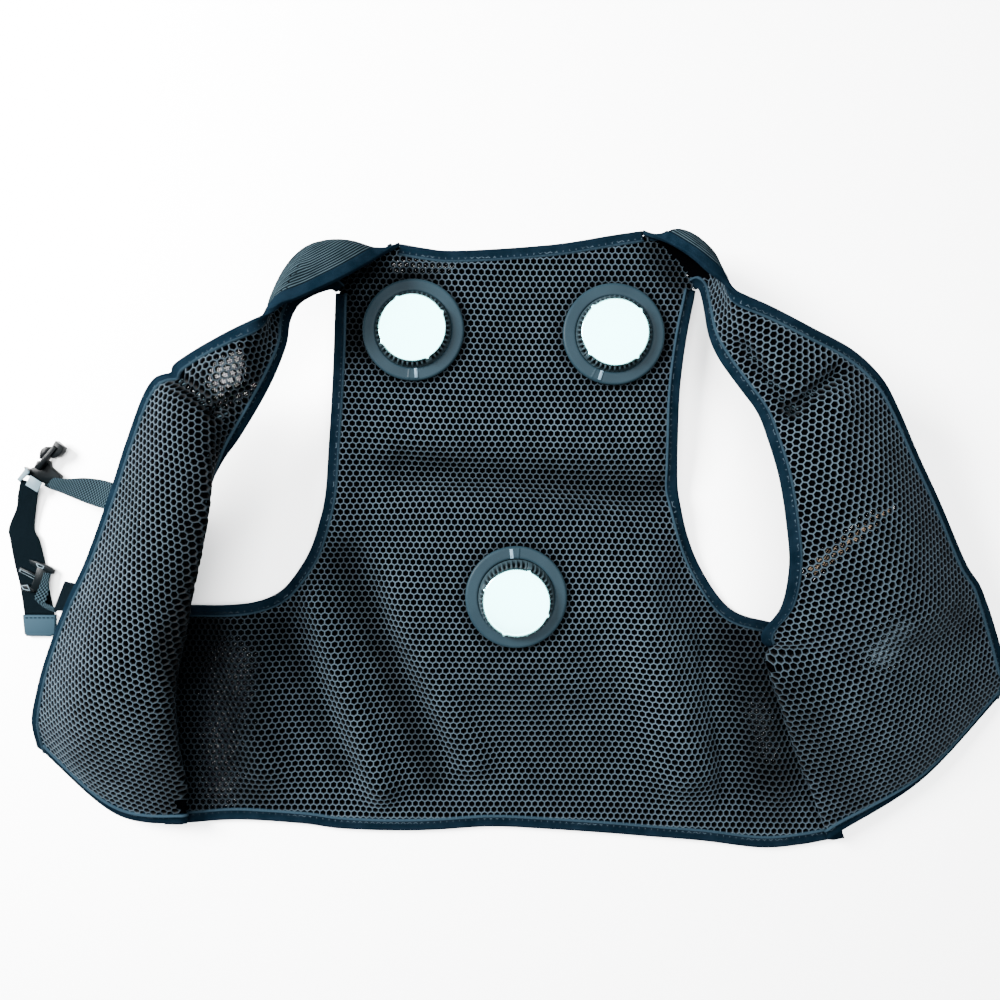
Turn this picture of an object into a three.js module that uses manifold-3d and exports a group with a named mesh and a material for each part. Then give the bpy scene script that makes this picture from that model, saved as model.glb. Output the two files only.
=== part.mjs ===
// A cooling vest lying opened out with its inner face up: a back panel of spacer mesh with three
// round coolers, two front panels that arch over at the shoulders and fold over the side parts,
// taped edges, and a strap group on the left front edge. Millimetres, Z up, X to the vest's right
// in this view, Y towards the collar.
import * as THREE from "three";
import { mergeVertices } from "three/addons/utils/BufferGeometryUtils.js";
import Module from "manifold-3d";

const wasm = await Module();
wasm.setup();

// Driving dimensions
const MESH_WALL = 3;
const TAPE_WALL = 4.2;
const TAPE_WIDTH = 11;
const WEBBING_WALL = 1.4;
const GAP = 0.3;
const TAPE_GAP = 1.2;
const WEBBING_GAP = 1;
// A piece on a front panel's outer face starts this far below the smooth face, so that the
// panel's flat facets, which dip below it, leave the piece its thickness
const UNDER_GAP = 1.5;
// A front panel's first section stands this share of a row back from the shoulder seam
const SEAM_START = 0.05;
// The tape on a front panel's armhole edge ends this share of a row before the side seam
const TAPE_END = 0.18;
// Where a front panel's section is divided, as shares of its width: closer at the taped edges
const CELL_EDGES = [0, 0.1, 0.28, 0.5, 0.7, 0.82, 0.93, 1];
// The gap between a front panel and its hem tape widens towards the side seam
const HEM_FLARE = { more: 3.5, power: 6 };
const FLOOR_LIMIT = TAPE_WALL / 2;
// Level of the back's folds, where their ends are read off the view
const SEAT_LEVEL = 15;
// How often a place on the back panel is found again with the height found last
const HEIGHT_PASSES = 6;
// The grid that the back panel is cut from, and the heights that its outline cuts between
const SLAB = { left: -350, right: 345, low: -345, high: 265, step: 26 };
const CUT = { low: -20, high: 80, bore: 60 };
// Share of a shoulder seam that the back panel's corner stands back from each end
const SEAM_MARGIN = 0.1;
// Divisions along the tapes of the back panel
const TAPE_STEPS = { collar: 14, leftArmhole: 26, rightArmhole: 24, hem: 30 };

// Each cooler: a puck under the mesh, a toothed collar through it, a flange and a metal plate on top
const COOLER = {
  seat: 22,
  housingRadius: 43,
  housingFoot: 36,
  housingChamfer: 4,
  flangeRadius: 47,
  flangeBore: 35.4,
  flangeHeight: 4.2,
  flangeChamfer: 2,
  flangeShoulder: 1.6,
  collarRadius: 35,
  collarRoot: 32.6,
  collarBore: 27,
  collarTop: 33.4,
  teeth: 46,
  lugs: 4,
  lugSpread: 0.12,
  plateRadius: 31.4,
  plateCorner: 33.6,
  cornerSpread: 0.2,
  plateHeight: 2.6,
  keyWidth: 9,
  keyRise: 0.8,
  keyDepth: 1,
  sides: 32,
};
const COOLERS = [
  { name: "left", x: -80, y: 157, keyAngle: -90, cornerAngle: 27 },
  { name: "right", x: 105, y: 153, keyAngle: -112, cornerAngle: 41 },
  { name: "lower", x: 15, y: -89.5, keyAngle: 92, cornerAngle: 68 },
];

// How the back panel drapes from the coolers' seats down to its edges
const DRAPE = { edge: 3.4, flat: 8, reach: 62, foldClear: 45 };

// The straight-down view in which outlines and folds were measured: [across, down] are its
// pixels, and a third value is the height of the place above the floor in millimetres.
const VIEW = { height: 690, focal: 720, middle: 500 };

// Folds of the back panel: a line in the view, half its width and its rise in millimetres
const BACK_FOLDS = [
  { name: "collar rise", from: [410, 252], to: [630, 244], width: 34, rise: 11 },
  { name: "upper ridge", from: [395, 424], to: [640, 432], width: 26, rise: 6 },
  { name: "cross dip", from: [405, 468], to: [655, 492], width: 17, rise: -11 },
  { name: "lower ridge", from: [400, 508], to: [660, 540], width: 26, rise: 8 },
  { name: "left armhole rise", from: [345, 340], to: [340, 520], width: 26, rise: 9 },
  { name: "right armhole rise", from: [672, 340], to: [668, 500], width: 26, rise: 9 },
  { name: "left valley", from: [350, 560], to: [436, 765], width: 13, rise: -9 },
  { name: "left ridge", from: [318, 605], to: [380, 790], width: 17, rise: 13 },
  { name: "left inner ridge", from: [405, 590], to: [470, 760], width: 20, rise: 8 },
  { name: "left side valley", from: [283, 625], to: [341, 775], width: 11, rise: -5 },
  { name: "left side ridge", from: [232, 625], to: [262, 770], width: 22, rise: 9 },
  { name: "right ridge", from: [642, 590], to: [688, 770], width: 30, rise: 15 },
  { name: "right valley", from: [712, 625], to: [736, 800], width: 13, rise: -7 },
  { name: "right side ridge", from: [752, 650], to: [782, 790], width: 18, rise: 7 },
];

// Outlines of the back panel with its side parts
const BACK_EDGES = {
  collar: [
    [402, 244.5], [426, 248.5], [450, 251], [500, 249], [560, 244], [610, 236], [640, 232],
  ],
  leftArmhole: [
    [336, 294], [334, 350], [332, 400], [329, 450], [325, 500], [315, 538], [302, 565], [283, 589],
    [258, 601], [225, 605], [190, 605], [160, 606],
  ],
  rightArmhole: [
    [695, 292], [686, 340], [679, 400], [677, 470], [684, 525], [703, 573], [731, 609],
    [767, 621], [800, 626],
  ],
  hem: [
    [176, 823], [192, 822], [240, 819], [303, 823], [341, 828], [399, 830], [440, 829],
    [490, 826], [540, 828], [600, 832], [650, 836], [700, 840], [760, 847], [800, 844], [833, 838],
  ],
};

// Sections of the left front panel, from the shoulder seam to the hem. The edge is the taped
// front edge, the root is the armhole edge and, from the row "seam top" on, the side seam.
const LEFT_ROWS = [
  { name: "shoulder seam", edge: [400, 244], crest: [378, 257], lip: [357, 276], root: [335, 291] },
  { name: "rise", edge: [372, 261, 58], crest: [352, 242, 52], lip: [331, 257, 34], root: [329, 290, 24] },
  { name: "cap", edge: [345, 276, 80], crest: [318, 244, 66], lip: [299, 264, 42], root: [313, 296, 30] },
  { name: "cap turn", edge: [318, 289, 87], crest: [294, 262, 72], lip: [281, 285, 49], root: [299, 305, 36] },
  { name: "cap end", edge: [290, 302, 89], crest: [275, 292, 78], lip: [271, 311, 59], root: [290, 321, 42] },
  { name: "strap", edge: [262, 315, 88], crest: [260, 324, 84], lip: [266, 340, 68], root: [285, 347, 48] },
  { name: "yoke", edge: [222, 335, 84], crest: [231, 351, 86], lip: [247, 370, 76], root: [268, 388, 56] },
  { name: "yoke corner", edge: [182, 359, 76], crest: [200, 384, 84], lip: [220, 409, 82], root: [240, 436, 62] },
  { name: "upper roll", edge: [150, 385, 66], crest: [175, 418, 86], lip: [208, 450, 90], root: [220, 463, 62] },
  { name: "roll", edge: [128, 440, 56], crest: [160, 470, 82], lip: [208, 498, 90], root: [198, 507, 58] },
  { name: "chest", edge: [112, 490, 47], crest: [150, 520, 82], lip: [201, 545, 86], root: [184, 553, 50] },
  { name: "lower chest", edge: [87, 560, 38], crest: [130, 584, 78], lip: [191, 596, 80], root: [165, 600, 30] },
  { name: "seam top", edge: [66, 606, 31], crest: [112, 625, 74], lip: [184, 634, 74], root: [154, 626, 8] },
  { name: "side", edge: [46, 661, 23], crest: [95, 680, 68], lip: [172, 690, 66], root: [158, 690, 3.4] },
  { name: "lower side", edge: [36, 700, 17], crest: [86, 727, 54], lip: [174, 743, 50], root: [161, 745, 3.4] },
  { name: "above hem", edge: [33, 722, 12], crest: [92, 768, 34], lip: [184, 788, 30], root: [165, 790, 3.4] },
  { name: "hem", edge: [38, 745, 5], crest: [117, 813, 11], lip: [184, 823, 17], root: [166, 824, 3] },
];

// Sections of the right front panel, listed the same way
const RIGHT_ROWS = [
  { name: "shoulder seam", edge: [642, 231.5], crest: [660, 246], lip: [680, 267], root: [697, 288] },
  { name: "rise", edge: [668, 243, 55], crest: [676, 230, 49], lip: [698, 246, 36], root: [700, 289, 26] },
  { name: "cap", edge: [692, 257, 82], crest: [702, 243, 70], lip: [716, 262, 46], root: [702, 296, 32] },
  { name: "cap turn", edge: [712, 274, 88], crest: [720, 266, 80], lip: [722, 284, 60], root: [705, 310, 38] },
  { name: "strap", edge: [740, 292, 88], crest: [738, 303, 84], lip: [729, 321, 68], root: [710, 337, 46] },
  { name: "yoke", edge: [772, 307, 87], crest: [765, 325, 86], lip: [747, 344, 74], root: [720, 360, 54] },
  { name: "lower yoke", edge: [812, 328, 84], crest: [797, 352, 86], lip: [769, 372, 78], root: [739, 387, 60] },
  { name: "yoke corner", edge: [852, 350, 78], crest: [828, 386, 84], lip: [790, 405, 80], root: [757, 412, 66] },
  { name: "upper chest", edge: [880, 377, 72], crest: [848, 415, 86], lip: [806, 434, 86], root: [768, 440, 70] },
  { name: "roll", edge: [896, 406, 65], crest: [864, 447, 86], lip: [818, 466, 88], root: [779, 478, 74] },
  { name: "chest", edge: [917, 455, 57], crest: [885, 493, 84], lip: [832, 512, 88], root: [786, 523, 76] },
  { name: "lower chest", edge: [939, 503, 49], crest: [903, 541, 80], lip: [845, 557, 84], root: [789, 566, 74] },
  { name: "above tip", edge: [964, 562, 40], crest: [915, 592, 76], lip: [850, 600, 78], root: [781, 607, 64] },
  { name: "tip", edge: [978, 584, 35], crest: [918, 616, 72], lip: [826, 630, 70], root: [761, 635, 52] },
  { name: "fold", edge: [985, 601, 31], crest: [905, 638, 68], lip: [790, 643, 60], root: [772, 648, 38] },
  { name: "seam top", edge: [990, 615, 28], crest: [890, 655, 64], lip: [768, 657, 46], root: [812, 664, 6] },
  { name: "side", edge: [999, 645, 22], crest: [885, 697, 56], lip: [784, 709, 42], root: [820, 712, 3.4] },
  { name: "lower side", edge: [1004, 664, 17], crest: [902, 737, 42], lip: [800, 755, 32], root: [828, 760, 3.4] },
  { name: "above hem", edge: [1007, 674, 12], crest: [915, 766, 26], lip: [818, 797, 24], root: [836, 800, 3.4] },
  { name: "hem", edge: [1003, 690, 5], crest: [920, 779, 11], lip: [833, 835, 15], root: [843, 838, 3] },
];

// Webbing on the left front edge: places of its two selvedges. A place without a height lies
// against the outer face of the tape or panel that is seen there.
const UPPER_STRAP = [
  { name: "under the tape", left: [120, 487], right: [112, 512] },
  { name: "at the tape's edge", left: [114, 485], right: [105, 509] },
  { name: "outside the tape", left: [103, 480, 34], right: [94, 505, 27] },
  { name: "half turn", left: [84, 478, 26], right: [76, 499, 16] },
  { name: "near the buckle", left: [67, 477, 17], right: [59, 489, 7] },
  { name: "at the buckle", left: [57.6, 477.2, 12], right: [47, 481.2, 4] },
];
const TAIL_STRAP = [
  { name: "at the buckle", left: [26, 477.2, 8], right: [43, 479.2, 8] },
  { name: "hanging", left: [19, 498, 5], right: [37.5, 500, 6] },
  { name: "upper bend", left: [14, 515, 2.6], right: [35, 516, 3.6] },
  { name: "bend", left: [9, 531, 1.6], right: [35, 531, 2.4] },
  { name: "lower bend", left: [12, 548, 1.2], right: [41, 545, 1.4] },
  { name: "under the prongs", left: [17, 580, 1.2], right: [47, 578, 1.2] },
  { name: "at the end clip", left: [24, 614.6, 1.2], right: [53, 614.6, 1.2] },
];
const LOWER_STRAP = [
  { name: "over the bar", left: [44, 573, 7], right: [51, 575, 7] },
  { name: "lying", left: [39, 588, 7], right: [49, 590, 7] },
  { name: "turn", left: [37, 599, 7.4], right: [47, 600, 8.2] },
  { name: "at the anchor", left: [52.6, 611.4, 14.4], right: [55.2, 604.4, 16.4] },
];
const STRAP_ANCHOR = [
  { name: "outer end", left: [65, 581, 23], right: [54, 611, 15.5] },
  { name: "at the tape's edge", left: [75.5, 584], right: [65, 611] },
  { name: "under the tape", left: [81, 586], right: [70, 613] },
];
// Outlines of the buckles, seen from above, with the heights that they reach between
const STRAP_BUCKLE = {
  low: 0,
  high: 13,
  outline: [
    [18, 480], [27, 467], [36, 466], [42, 458], [44, 449], [51, 447], [56, 443], [60, 440], [66, 448],
    [64, 455], [57, 458], [53, 464], [60, 471], [57, 476], [46, 480], [43, 478.5], [26, 476.5],
  ],
};
const LOWER_BUCKLE = {
  low: 2.2,
  high: 6,
  outline: [
    [29, 560], [44, 563], [54, 572], [53, 576], [47, 583], [40, 597], [33, 593], [21, 591], [20, 586],
    [31, 585], [34, 581], [18, 576], [20, 569], [37, 574], [42, 570],
  ],
};
const END_CLIP = { left: 24, right: 55.5, top: 615, bottom: 636, height: 3.4 };
// What is sewn to the outer face of the right front panel, by its corners in the view
const OUTER_STRIP = { wall: 3.2, corners: [[800, 563], [888, 495], [898, 511], [811, 581]] };
const OUTER_PATCH = { wall: 3.2, corners: [[856, 641], [909, 607], [933, 640], [870, 682]] };

// Materials
const FINISH = {
  mesh: new THREE.MeshStandardMaterial({ color: 0x2c3840, roughness: 0.85, metalness: 0 }),
  tape: new THREE.MeshStandardMaterial({ color: 0x17222d, roughness: 0.8, metalness: 0 }),
  plastic: new THREE.MeshStandardMaterial({ color: 0x3c4c56, roughness: 0.5, metalness: 0 }),
  black: new THREE.MeshStandardMaterial({ color: 0x12181c, roughness: 0.45, metalness: 0 }),
  plate: new THREE.MeshStandardMaterial({ color: 0xdfe8ea, roughness: 0.15, metalness: 1 }),
  webbing: new THREE.MeshStandardMaterial({ color: 0x5d7078, roughness: 0.9, metalness: 0 }),
  strap: new THREE.MeshStandardMaterial({ color: 0x12191f, roughness: 0.9, metalness: 0 }),
  tan: new THREE.MeshStandardMaterial({ color: 0x8d7a66, roughness: 0.8, metalness: 0 }),
};

// The place of a pixel of the view at a height
function place([across, down, height]) {
  const scale = (VIEW.height - height) / VIEW.focal;
  return new THREE.Vector3((across - VIEW.middle) * scale, (VIEW.middle - down) * scale, height);
}

// The pixel where a place is seen
function seen(spot) {
  const scale = VIEW.focal / (VIEW.height - spot.z);
  return [VIEW.middle + spot.x * scale, VIEW.middle - spot.y * scale];
}

const folds = BACK_FOLDS.map((fold) => ({
  ...fold,
  start: place([...fold.from, SEAT_LEVEL]),
  end: place([...fold.to, SEAT_LEVEL]),
}));

// How far a point is from a fold's line, seen from above
function distanceTo(fold, x, y) {
  const dx = fold.end.x - fold.start.x;
  const dy = fold.end.y - fold.start.y;
  const along = ((x - fold.start.x) * dx + (y - fold.start.y) * dy) / (dx * dx + dy * dy);
  const t = Math.min(1, Math.max(0, along));
  return Math.hypot(x - fold.start.x - t * dx, y - fold.start.y - t * dy);
}

// Height of the back panel's middle surface: level at the coolers, falling away as a bell curve,
// plus each fold's bell curve, and never closer to the floor than the tape's half wall.
function backHeight(x, y) {
  let fall = 1;
  let open = 1;
  for (const cooler of COOLERS) {
    const out = Math.max(0, Math.hypot(x - cooler.x, y - cooler.y) - COOLER.flangeRadius - DRAPE.flat);
    fall *= 1 - Math.exp(-((out / DRAPE.reach) ** 2));
    open *= 1 - Math.exp(-((out / DRAPE.foldClear) ** 2));
  }
  let height = DRAPE.edge + (COOLER.seat - DRAPE.edge) * (1 - fall);
  for (const fold of folds) {
    height += open * fold.rise * Math.exp(-((distanceTo(fold, x, y) / fold.width) ** 2));
  }
  return Math.max(height, FLOOR_LIMIT);
}

// The place of a pixel that shows the back panel, found by repeating with the height found
function onBack([across, down]) {
  let spot = place([across, down, SEAT_LEVEL]);
  for (let pass = 0; pass < HEIGHT_PASSES; pass += 1) {
    spot = place([across, down, backHeight(spot.x, spot.y)]);
  }
  return spot;
}

function smooth(points) {
  return new THREE.CatmullRomCurve3(points, false, "catmullrom", 0.5);
}

// A closed solid as a geometry, with shared corners merged
function solidOf(geometry) {
  const bare = geometry.index ? geometry.toNonIndexed() : geometry.clone();
  bare.deleteAttribute("normal");
  bare.deleteAttribute("uv");
  const merged = mergeVertices(bare, 1e-3);
  return new wasm.Manifold(new wasm.Mesh({
    numProp: 3,
    vertProperties: new Float32Array(merged.attributes.position.array),
    triVerts: new Uint32Array(merged.index.array),
  }));
}

function geometryOf(solid) {
  const mesh = solid.getMesh();
  const geometry = new THREE.BufferGeometry();
  geometry.setAttribute("position", new THREE.BufferAttribute(new Float32Array(mesh.vertProperties), 3));
  geometry.setIndex(new THREE.BufferAttribute(new Uint32Array(mesh.triVerts), 1));
  const flat = geometry.toNonIndexed();
  flat.computeVertexNormals();
  return flat;
}

// A grid of points with a wall: rows and columns of middle points, each with its offset vector
// to the upper face. The lower face is the opposite offset, and four side walls close it.
function wallGeometry(grid) {
  const rows = grid.length;
  const columns = grid[0].length;
  const positions = [];
  for (const side of [1, -1]) {
    for (const row of grid) {
      for (const { point, offset } of row) {
        positions.push(point.x + side * offset.x, point.y + side * offset.y, point.z + side * offset.z);
      }
    }
  }
  const under = rows * columns;
  const index = [];
  const quad = (a, b, c, d) => index.push(a, b, c, a, c, d);
  for (let i = 0; i + 1 < rows; i += 1) {
    for (let j = 0; j + 1 < columns; j += 1) {
      const a = i * columns + j;
      const b = a + columns;
      quad(a, b, b + 1, a + 1);
      quad(under + a, under + a + 1, under + b + 1, under + b);
    }
  }
  const rim = [];
  for (let i = 0; i < rows - 1; i += 1) rim.push(i * columns);
  for (let j = 0; j < columns - 1; j += 1) rim.push((rows - 1) * columns + j);
  for (let i = rows - 1; i > 0; i -= 1) rim.push(i * columns + columns - 1);
  for (let j = columns - 1; j > 0; j -= 1) rim.push(j);
  rim.forEach((a, k) => {
    const b = rim[(k + 1) % rim.length];
    quad(a, under + a, under + b, b);
  });
  const geometry = new THREE.BufferGeometry();
  geometry.setAttribute("position", new THREE.BufferAttribute(new Float32Array(positions), 3));
  geometry.setIndex(index);
  return outward(geometry);
}

// The same geometry with its faces pointing out
function outward(geometry) {
  const flat = geometry.index ? geometry.toNonIndexed() : geometry;
  const p = flat.attributes.position;
  const [a, b, c] = [new THREE.Vector3(), new THREE.Vector3(), new THREE.Vector3()];
  let volume = 0;
  for (let i = 0; i < p.count; i += 3) {
    a.fromBufferAttribute(p, i);
    b.fromBufferAttribute(p, i + 1);
    c.fromBufferAttribute(p, i + 2);
    volume += a.dot(b.cross(c));
  }
  if (volume < 0) {
    for (let i = 0; i < p.count; i += 3) {
      b.fromBufferAttribute(p, i + 1);
      c.fromBufferAttribute(p, i + 2);
      p.setXYZ(i + 1, c.x, c.y, c.z);
      p.setXYZ(i + 2, b.x, b.y, b.z);
    }
  }
  flat.computeVertexNormals();
  return flat;
}

// A sheet lofted through rows of named columns: a smooth curve runs down each column, and each
// section is a smooth curve across the columns, measured in millimetres from its first column.
// The vest's outer face is where its normal points if outer is 1, and the other face if it is -1.
class LoftedSheet {
  constructor(rows, names, outer = 1) {
    this.last = rows.length - 1;
    this.outer = outer;
    this.columns = names.map((name) => smooth(rows.map((row) => {
      const spot = row[name];
      if (spot.isVector3) return spot;
      return spot.length === 2 ? onBack(spot) : place(spot);
    })));
    this.known = new Map();
  }

  section(s) {
    if (!this.known.has(s)) {
      this.known.set(s, smooth(this.columns.map((column) => column.getPoint(s / this.last))));
    }
    return this.known.get(s);
  }

  width(s) {
    return this.section(s).getLength();
  }

  // The place at row value s, and at a share of the section's length
  point(s, share) {
    return this.section(s).getPointAt(Math.min(1, Math.max(0, share)));
  }

  // The unit normal, from small steps along and across
  normal(s, share) {
    const step = 0.01;
    const s0 = Math.max(0, s - step);
    const s1 = Math.min(this.last, s + step);
    const along = this.point(s1, share).sub(this.point(s0, share));
    const across = this.point(s, Math.min(1, share + step)).sub(this.point(s, Math.max(0, share - step)));
    return across.cross(along).normalize();
  }

  // The row value and share of the place that a pixel shows, away from its root
  find([across, down]) {
    const reach = { rows: 8, shares: 77, most: 0.96 };
    let best = { distance: Infinity };
    for (let s = 2; s <= this.last; s += 1 / reach.rows) {
      for (let k = 0; k <= reach.shares; k += 1) {
        const share = (reach.most * k) / reach.shares;
        const [x, y] = seen(this.point(s, share));
        const distance = Math.hypot(x - across, y - down);
        if (distance < best.distance) best = { distance, s, share };
      }
    }
    return best;
  }

  // The place that a pixel shows, moved off the sheet beyond its outer face
  beyond(spot, distance) {
    const { s, share } = this.find(spot);
    return this.point(s, share).addScaledVector(this.normal(s, share), this.outer * distance);
  }

  // How many rows a distance up from the hem takes, at a share of the section
  rowsFor(distance, share) {
    const step = 0.05;
    return distance * step / this.point(this.last, share).distanceTo(this.point(this.last - step, share));
  }

  // A walled piece between row values and shares given by two functions of the grid's indices
  wall(rows, columns, wall, rowAt, shareAt, shift = 0) {
    const grid = [];
    for (let i = 0; i <= rows; i += 1) {
      const row = [];
      for (let j = 0; j <= columns; j += 1) {
        const share = shareAt(i, j);
        const s = rowAt(i, j, share);
        const normal = this.normal(s, share);
        const point = this.point(s, share).addScaledVector(normal, shift);
        row.push({ point, offset: normal.multiplyScalar(wall / 2) });
      }
      grid.push(row);
    }
    return wallGeometry(grid);
  }
}

const group = new THREE.Group();
const vest = new THREE.Group();
group.add(vest);

function add(name, geometry, material, parent = vest) {
  const mesh = new THREE.Mesh(geometry, material);
  mesh.name = name;
  parent.add(mesh);
  return mesh;
}

// Upright prism over an outline
function prism(points, low, high, holes = []) {
  const shape = new THREE.Shape(points.map((p) => new THREE.Vector2(p.x, p.y)));
  for (const hole of holes) {
    shape.holes.push(new THREE.Path(hole.map((p) => new THREE.Vector2(p.x, p.y))));
  }
  const geometry = new THREE.ExtrudeGeometry(shape, { depth: high - low, bevelEnabled: false });
  return geometry.translate(0, 0, low);
}

// The back panel's surface with a wall, over the whole box of its outline
function drapedSlab(wall) {
  const across = Math.round((SLAB.right - SLAB.left) / SLAB.step);
  const up = Math.round((SLAB.high - SLAB.low) / SLAB.step);
  const grid = [];
  for (let i = 0; i <= up; i += 1) {
    const row = [];
    for (let j = 0; j <= across; j += 1) {
      const x = SLAB.left + ((SLAB.right - SLAB.left) * j) / across;
      const y = SLAB.low + ((SLAB.high - SLAB.low) * i) / up;
      row.push({
        point: new THREE.Vector3(x, y, backHeight(x, y)),
        offset: new THREE.Vector3(0, 0, wall / 2),
      });
    }
    grid.push(row);
  }
  return solidOf(wallGeometry(grid));
}

// A curve's points, and the same points moved sideways by a distance (to its left if positive)
function beside(points, distance) {
  return points.map((point, i) => {
    const ahead = points[Math.min(points.length - 1, i + 1)];
    const behind = points[Math.max(0, i - 1)];
    const way = new THREE.Vector2(ahead.x - behind.x, ahead.y - behind.y).normalize();
    return new THREE.Vector3(point.x - way.y * distance, point.y + way.x * distance, point.z);
  });
}

// The back panel and the tape along its four edges. Each edge runs so that the panel lies to its
// left, and the panel's corners stand back from the shoulder and side seams by the gap.
function addBack() {
  const edges = {};
  for (const [name, spots] of Object.entries(BACK_EDGES)) {
    const turned = name === "leftArmhole" || name === "hem" ? spots : [...spots].reverse();
    edges[name] = smooth(turned.map(onBack)).getSpacedPoints(TAPE_STEPS[name]);
  }
  const upper = new THREE.Vector3(0, 0, TAPE_WALL / 2);
  const onSurface = (p) => ({ point: new THREE.Vector3(p.x, p.y, backHeight(p.x, p.y)), offset: upper });
  for (const [name, edge] of Object.entries(edges)) {
    const inner = beside(edge, TAPE_WIDTH);
    const ribbon = edge.map((point, i) => [onSurface(point), onSurface(inner[i])]);
    const label = name.replace("Armhole", "_armhole_back");
    add(`${label}_binding`, wallGeometry(ribbon), FINISH.tape);
  }
  const inset = Object.fromEntries(
    Object.entries(edges).map(([name, edge]) => [name, beside(edge, TAPE_WIDTH + GAP)]),
  );
  const seamInset = (from, to) => {
    const start = new THREE.Vector3().lerpVectors(from, to, SEAM_MARGIN);
    const end = new THREE.Vector3().lerpVectors(from, to, 1 - SEAM_MARGIN);
    return beside([start, end], 2 * GAP);
  };
  const ends = (edge) => [edge[0], edge.at(-1)];
  const [collarRight, collarLeft] = ends(edges.collar);
  const [leftTop] = ends(edges.leftArmhole);
  const rightTop = edges.rightArmhole.at(-1);
  const outline = [
    ...inset.collar,
    ...seamInset(collarLeft, leftTop),
    ...inset.leftArmhole,
    ...inset.hem,
    ...inset.rightArmhole,
    ...seamInset(rightTop, collarRight),
  ];
  let panel = drapedSlab(MESH_WALL).intersect(solidOf(prism(outline, CUT.low, CUT.high)));
  for (const cooler of COOLERS) {
    const bore = new THREE.CylinderGeometry(
      COOLER.collarRadius + GAP, COOLER.collarRadius + GAP, CUT.bore, COOLER.sides,
    );
    bore.rotateX(Math.PI / 2).translate(cooler.x, cooler.y, COOLER.seat);
    panel = panel.subtract(solidOf(bore));
  }
  add("back_panel", geometryOf(panel), FINISH.mesh);
}

// Row values from the shoulder seam down: quarter rows inside the close spans, where the sheet
// twists, and half rows elsewhere
function rowValues(end, closeSpans) {
  const values = [SEAM_START];
  for (let quarter = 1; quarter <= 4 * end; quarter += 1) {
    const value = quarter / 4;
    const close = closeSpans.some(([from, to]) => value > from && value < to);
    if (close || quarter % 2 === 0) values.push(value);
  }
  return values;
}

// A front panel with the tape on its front edge, its armhole edge and its hem. The last row
// stands back from the hem by the tape's width.
function addFront(side, rows, seamTop, closeSpans, outer) {
  const sheet = new LoftedSheet(rows, ["edge", "crest", "lip", "root"], outer);
  const { last } = sheet;
  const values = rowValues(last - 1, closeSpans);
  const rowValue = (i) => values[Math.min(i, values.length - 1)];
  const fixed = values.length - 1;
  const panelRow = (i, share, inset) => (i <= fixed ? rowValue(i) : last - sheet.rowsFor(inset, share));
  const seamRow = values.indexOf(seamTop);
  const cells = CELL_EDGES.length - 1;
  const inset = TAPE_WIDTH + TAPE_GAP;
  const hemInset = (share) => (
    TAPE_WIDTH + TAPE_GAP * (1 + HEM_FLARE.more * share ** HEM_FLARE.power)
  );
  const rowsOf = (i, j, share) => panelRow(i, share, hemInset(share));
  const panelShare = (i, j) => {
    const width = sheet.width(rowValue(i));
    const first = inset / width;
    const end = i <= seamRow ? 1 - inset / width : 1;
    return first + (end - first) * CELL_EDGES[j];
  };
  const panel = (wall) => sheet.wall(fixed + 1, cells, wall, rowsOf, panelShare);
  add(`${side}_front_panel`, panel(MESH_WALL), FINISH.mesh);
  sheet.clearance = panel(MESH_WALL + 2 * GAP);
  const edgeRow = (i, j, share) => (i > fixed + 1 ? last : panelRow(i, share, hemInset(share)));
  add(`${side}_front_edge_binding`, sheet.wall(fixed + 2, 1, TAPE_WALL, edgeRow, (i, j) => (
    (j * TAPE_WIDTH) / sheet.width(rowValue(i))
  )), FINISH.tape);
  const rootRow = (i) => (i < seamRow ? rowValue(i) : seamTop - TAPE_END);
  add(`${side}_armhole_front_binding`, sheet.wall(seamRow, 1, TAPE_WALL, rootRow, (i, j) => (
    1 - ((1 - j) * TAPE_WIDTH) / sheet.width(rowValue(i))
  )), FINISH.tape);
  const hemRow = (i, j, share) => (i === 0 ? last - sheet.rowsFor(TAPE_WIDTH, share) : last);
  add(`${side}_hem_binding`, sheet.wall(1, cells, TAPE_WALL, hemRow, (i, j) => {
    const first = inset / sheet.width(last);
    return first + (1 - first) * CELL_EDGES[j];
  }), FINISH.tape);
  return sheet;
}

// A ring or puck turned about its axis, from a closed profile of [radius, height]
function turned(profile) {
  const points = profile.map(([radius, height]) => new THREE.Vector2(radius, height));
  return new THREE.LatheGeometry(points, COOLER.sides).rotateX(Math.PI / 2);
}

function circlePoints(count, radiusAt) {
  return Array.from({ length: count }, (_, k) => {
    const angle = (2 * Math.PI * k) / count;
    const radius = radiusAt(k, angle);
    return new THREE.Vector3(radius * Math.cos(angle), radius * Math.sin(angle), 0);
  });
}

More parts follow.
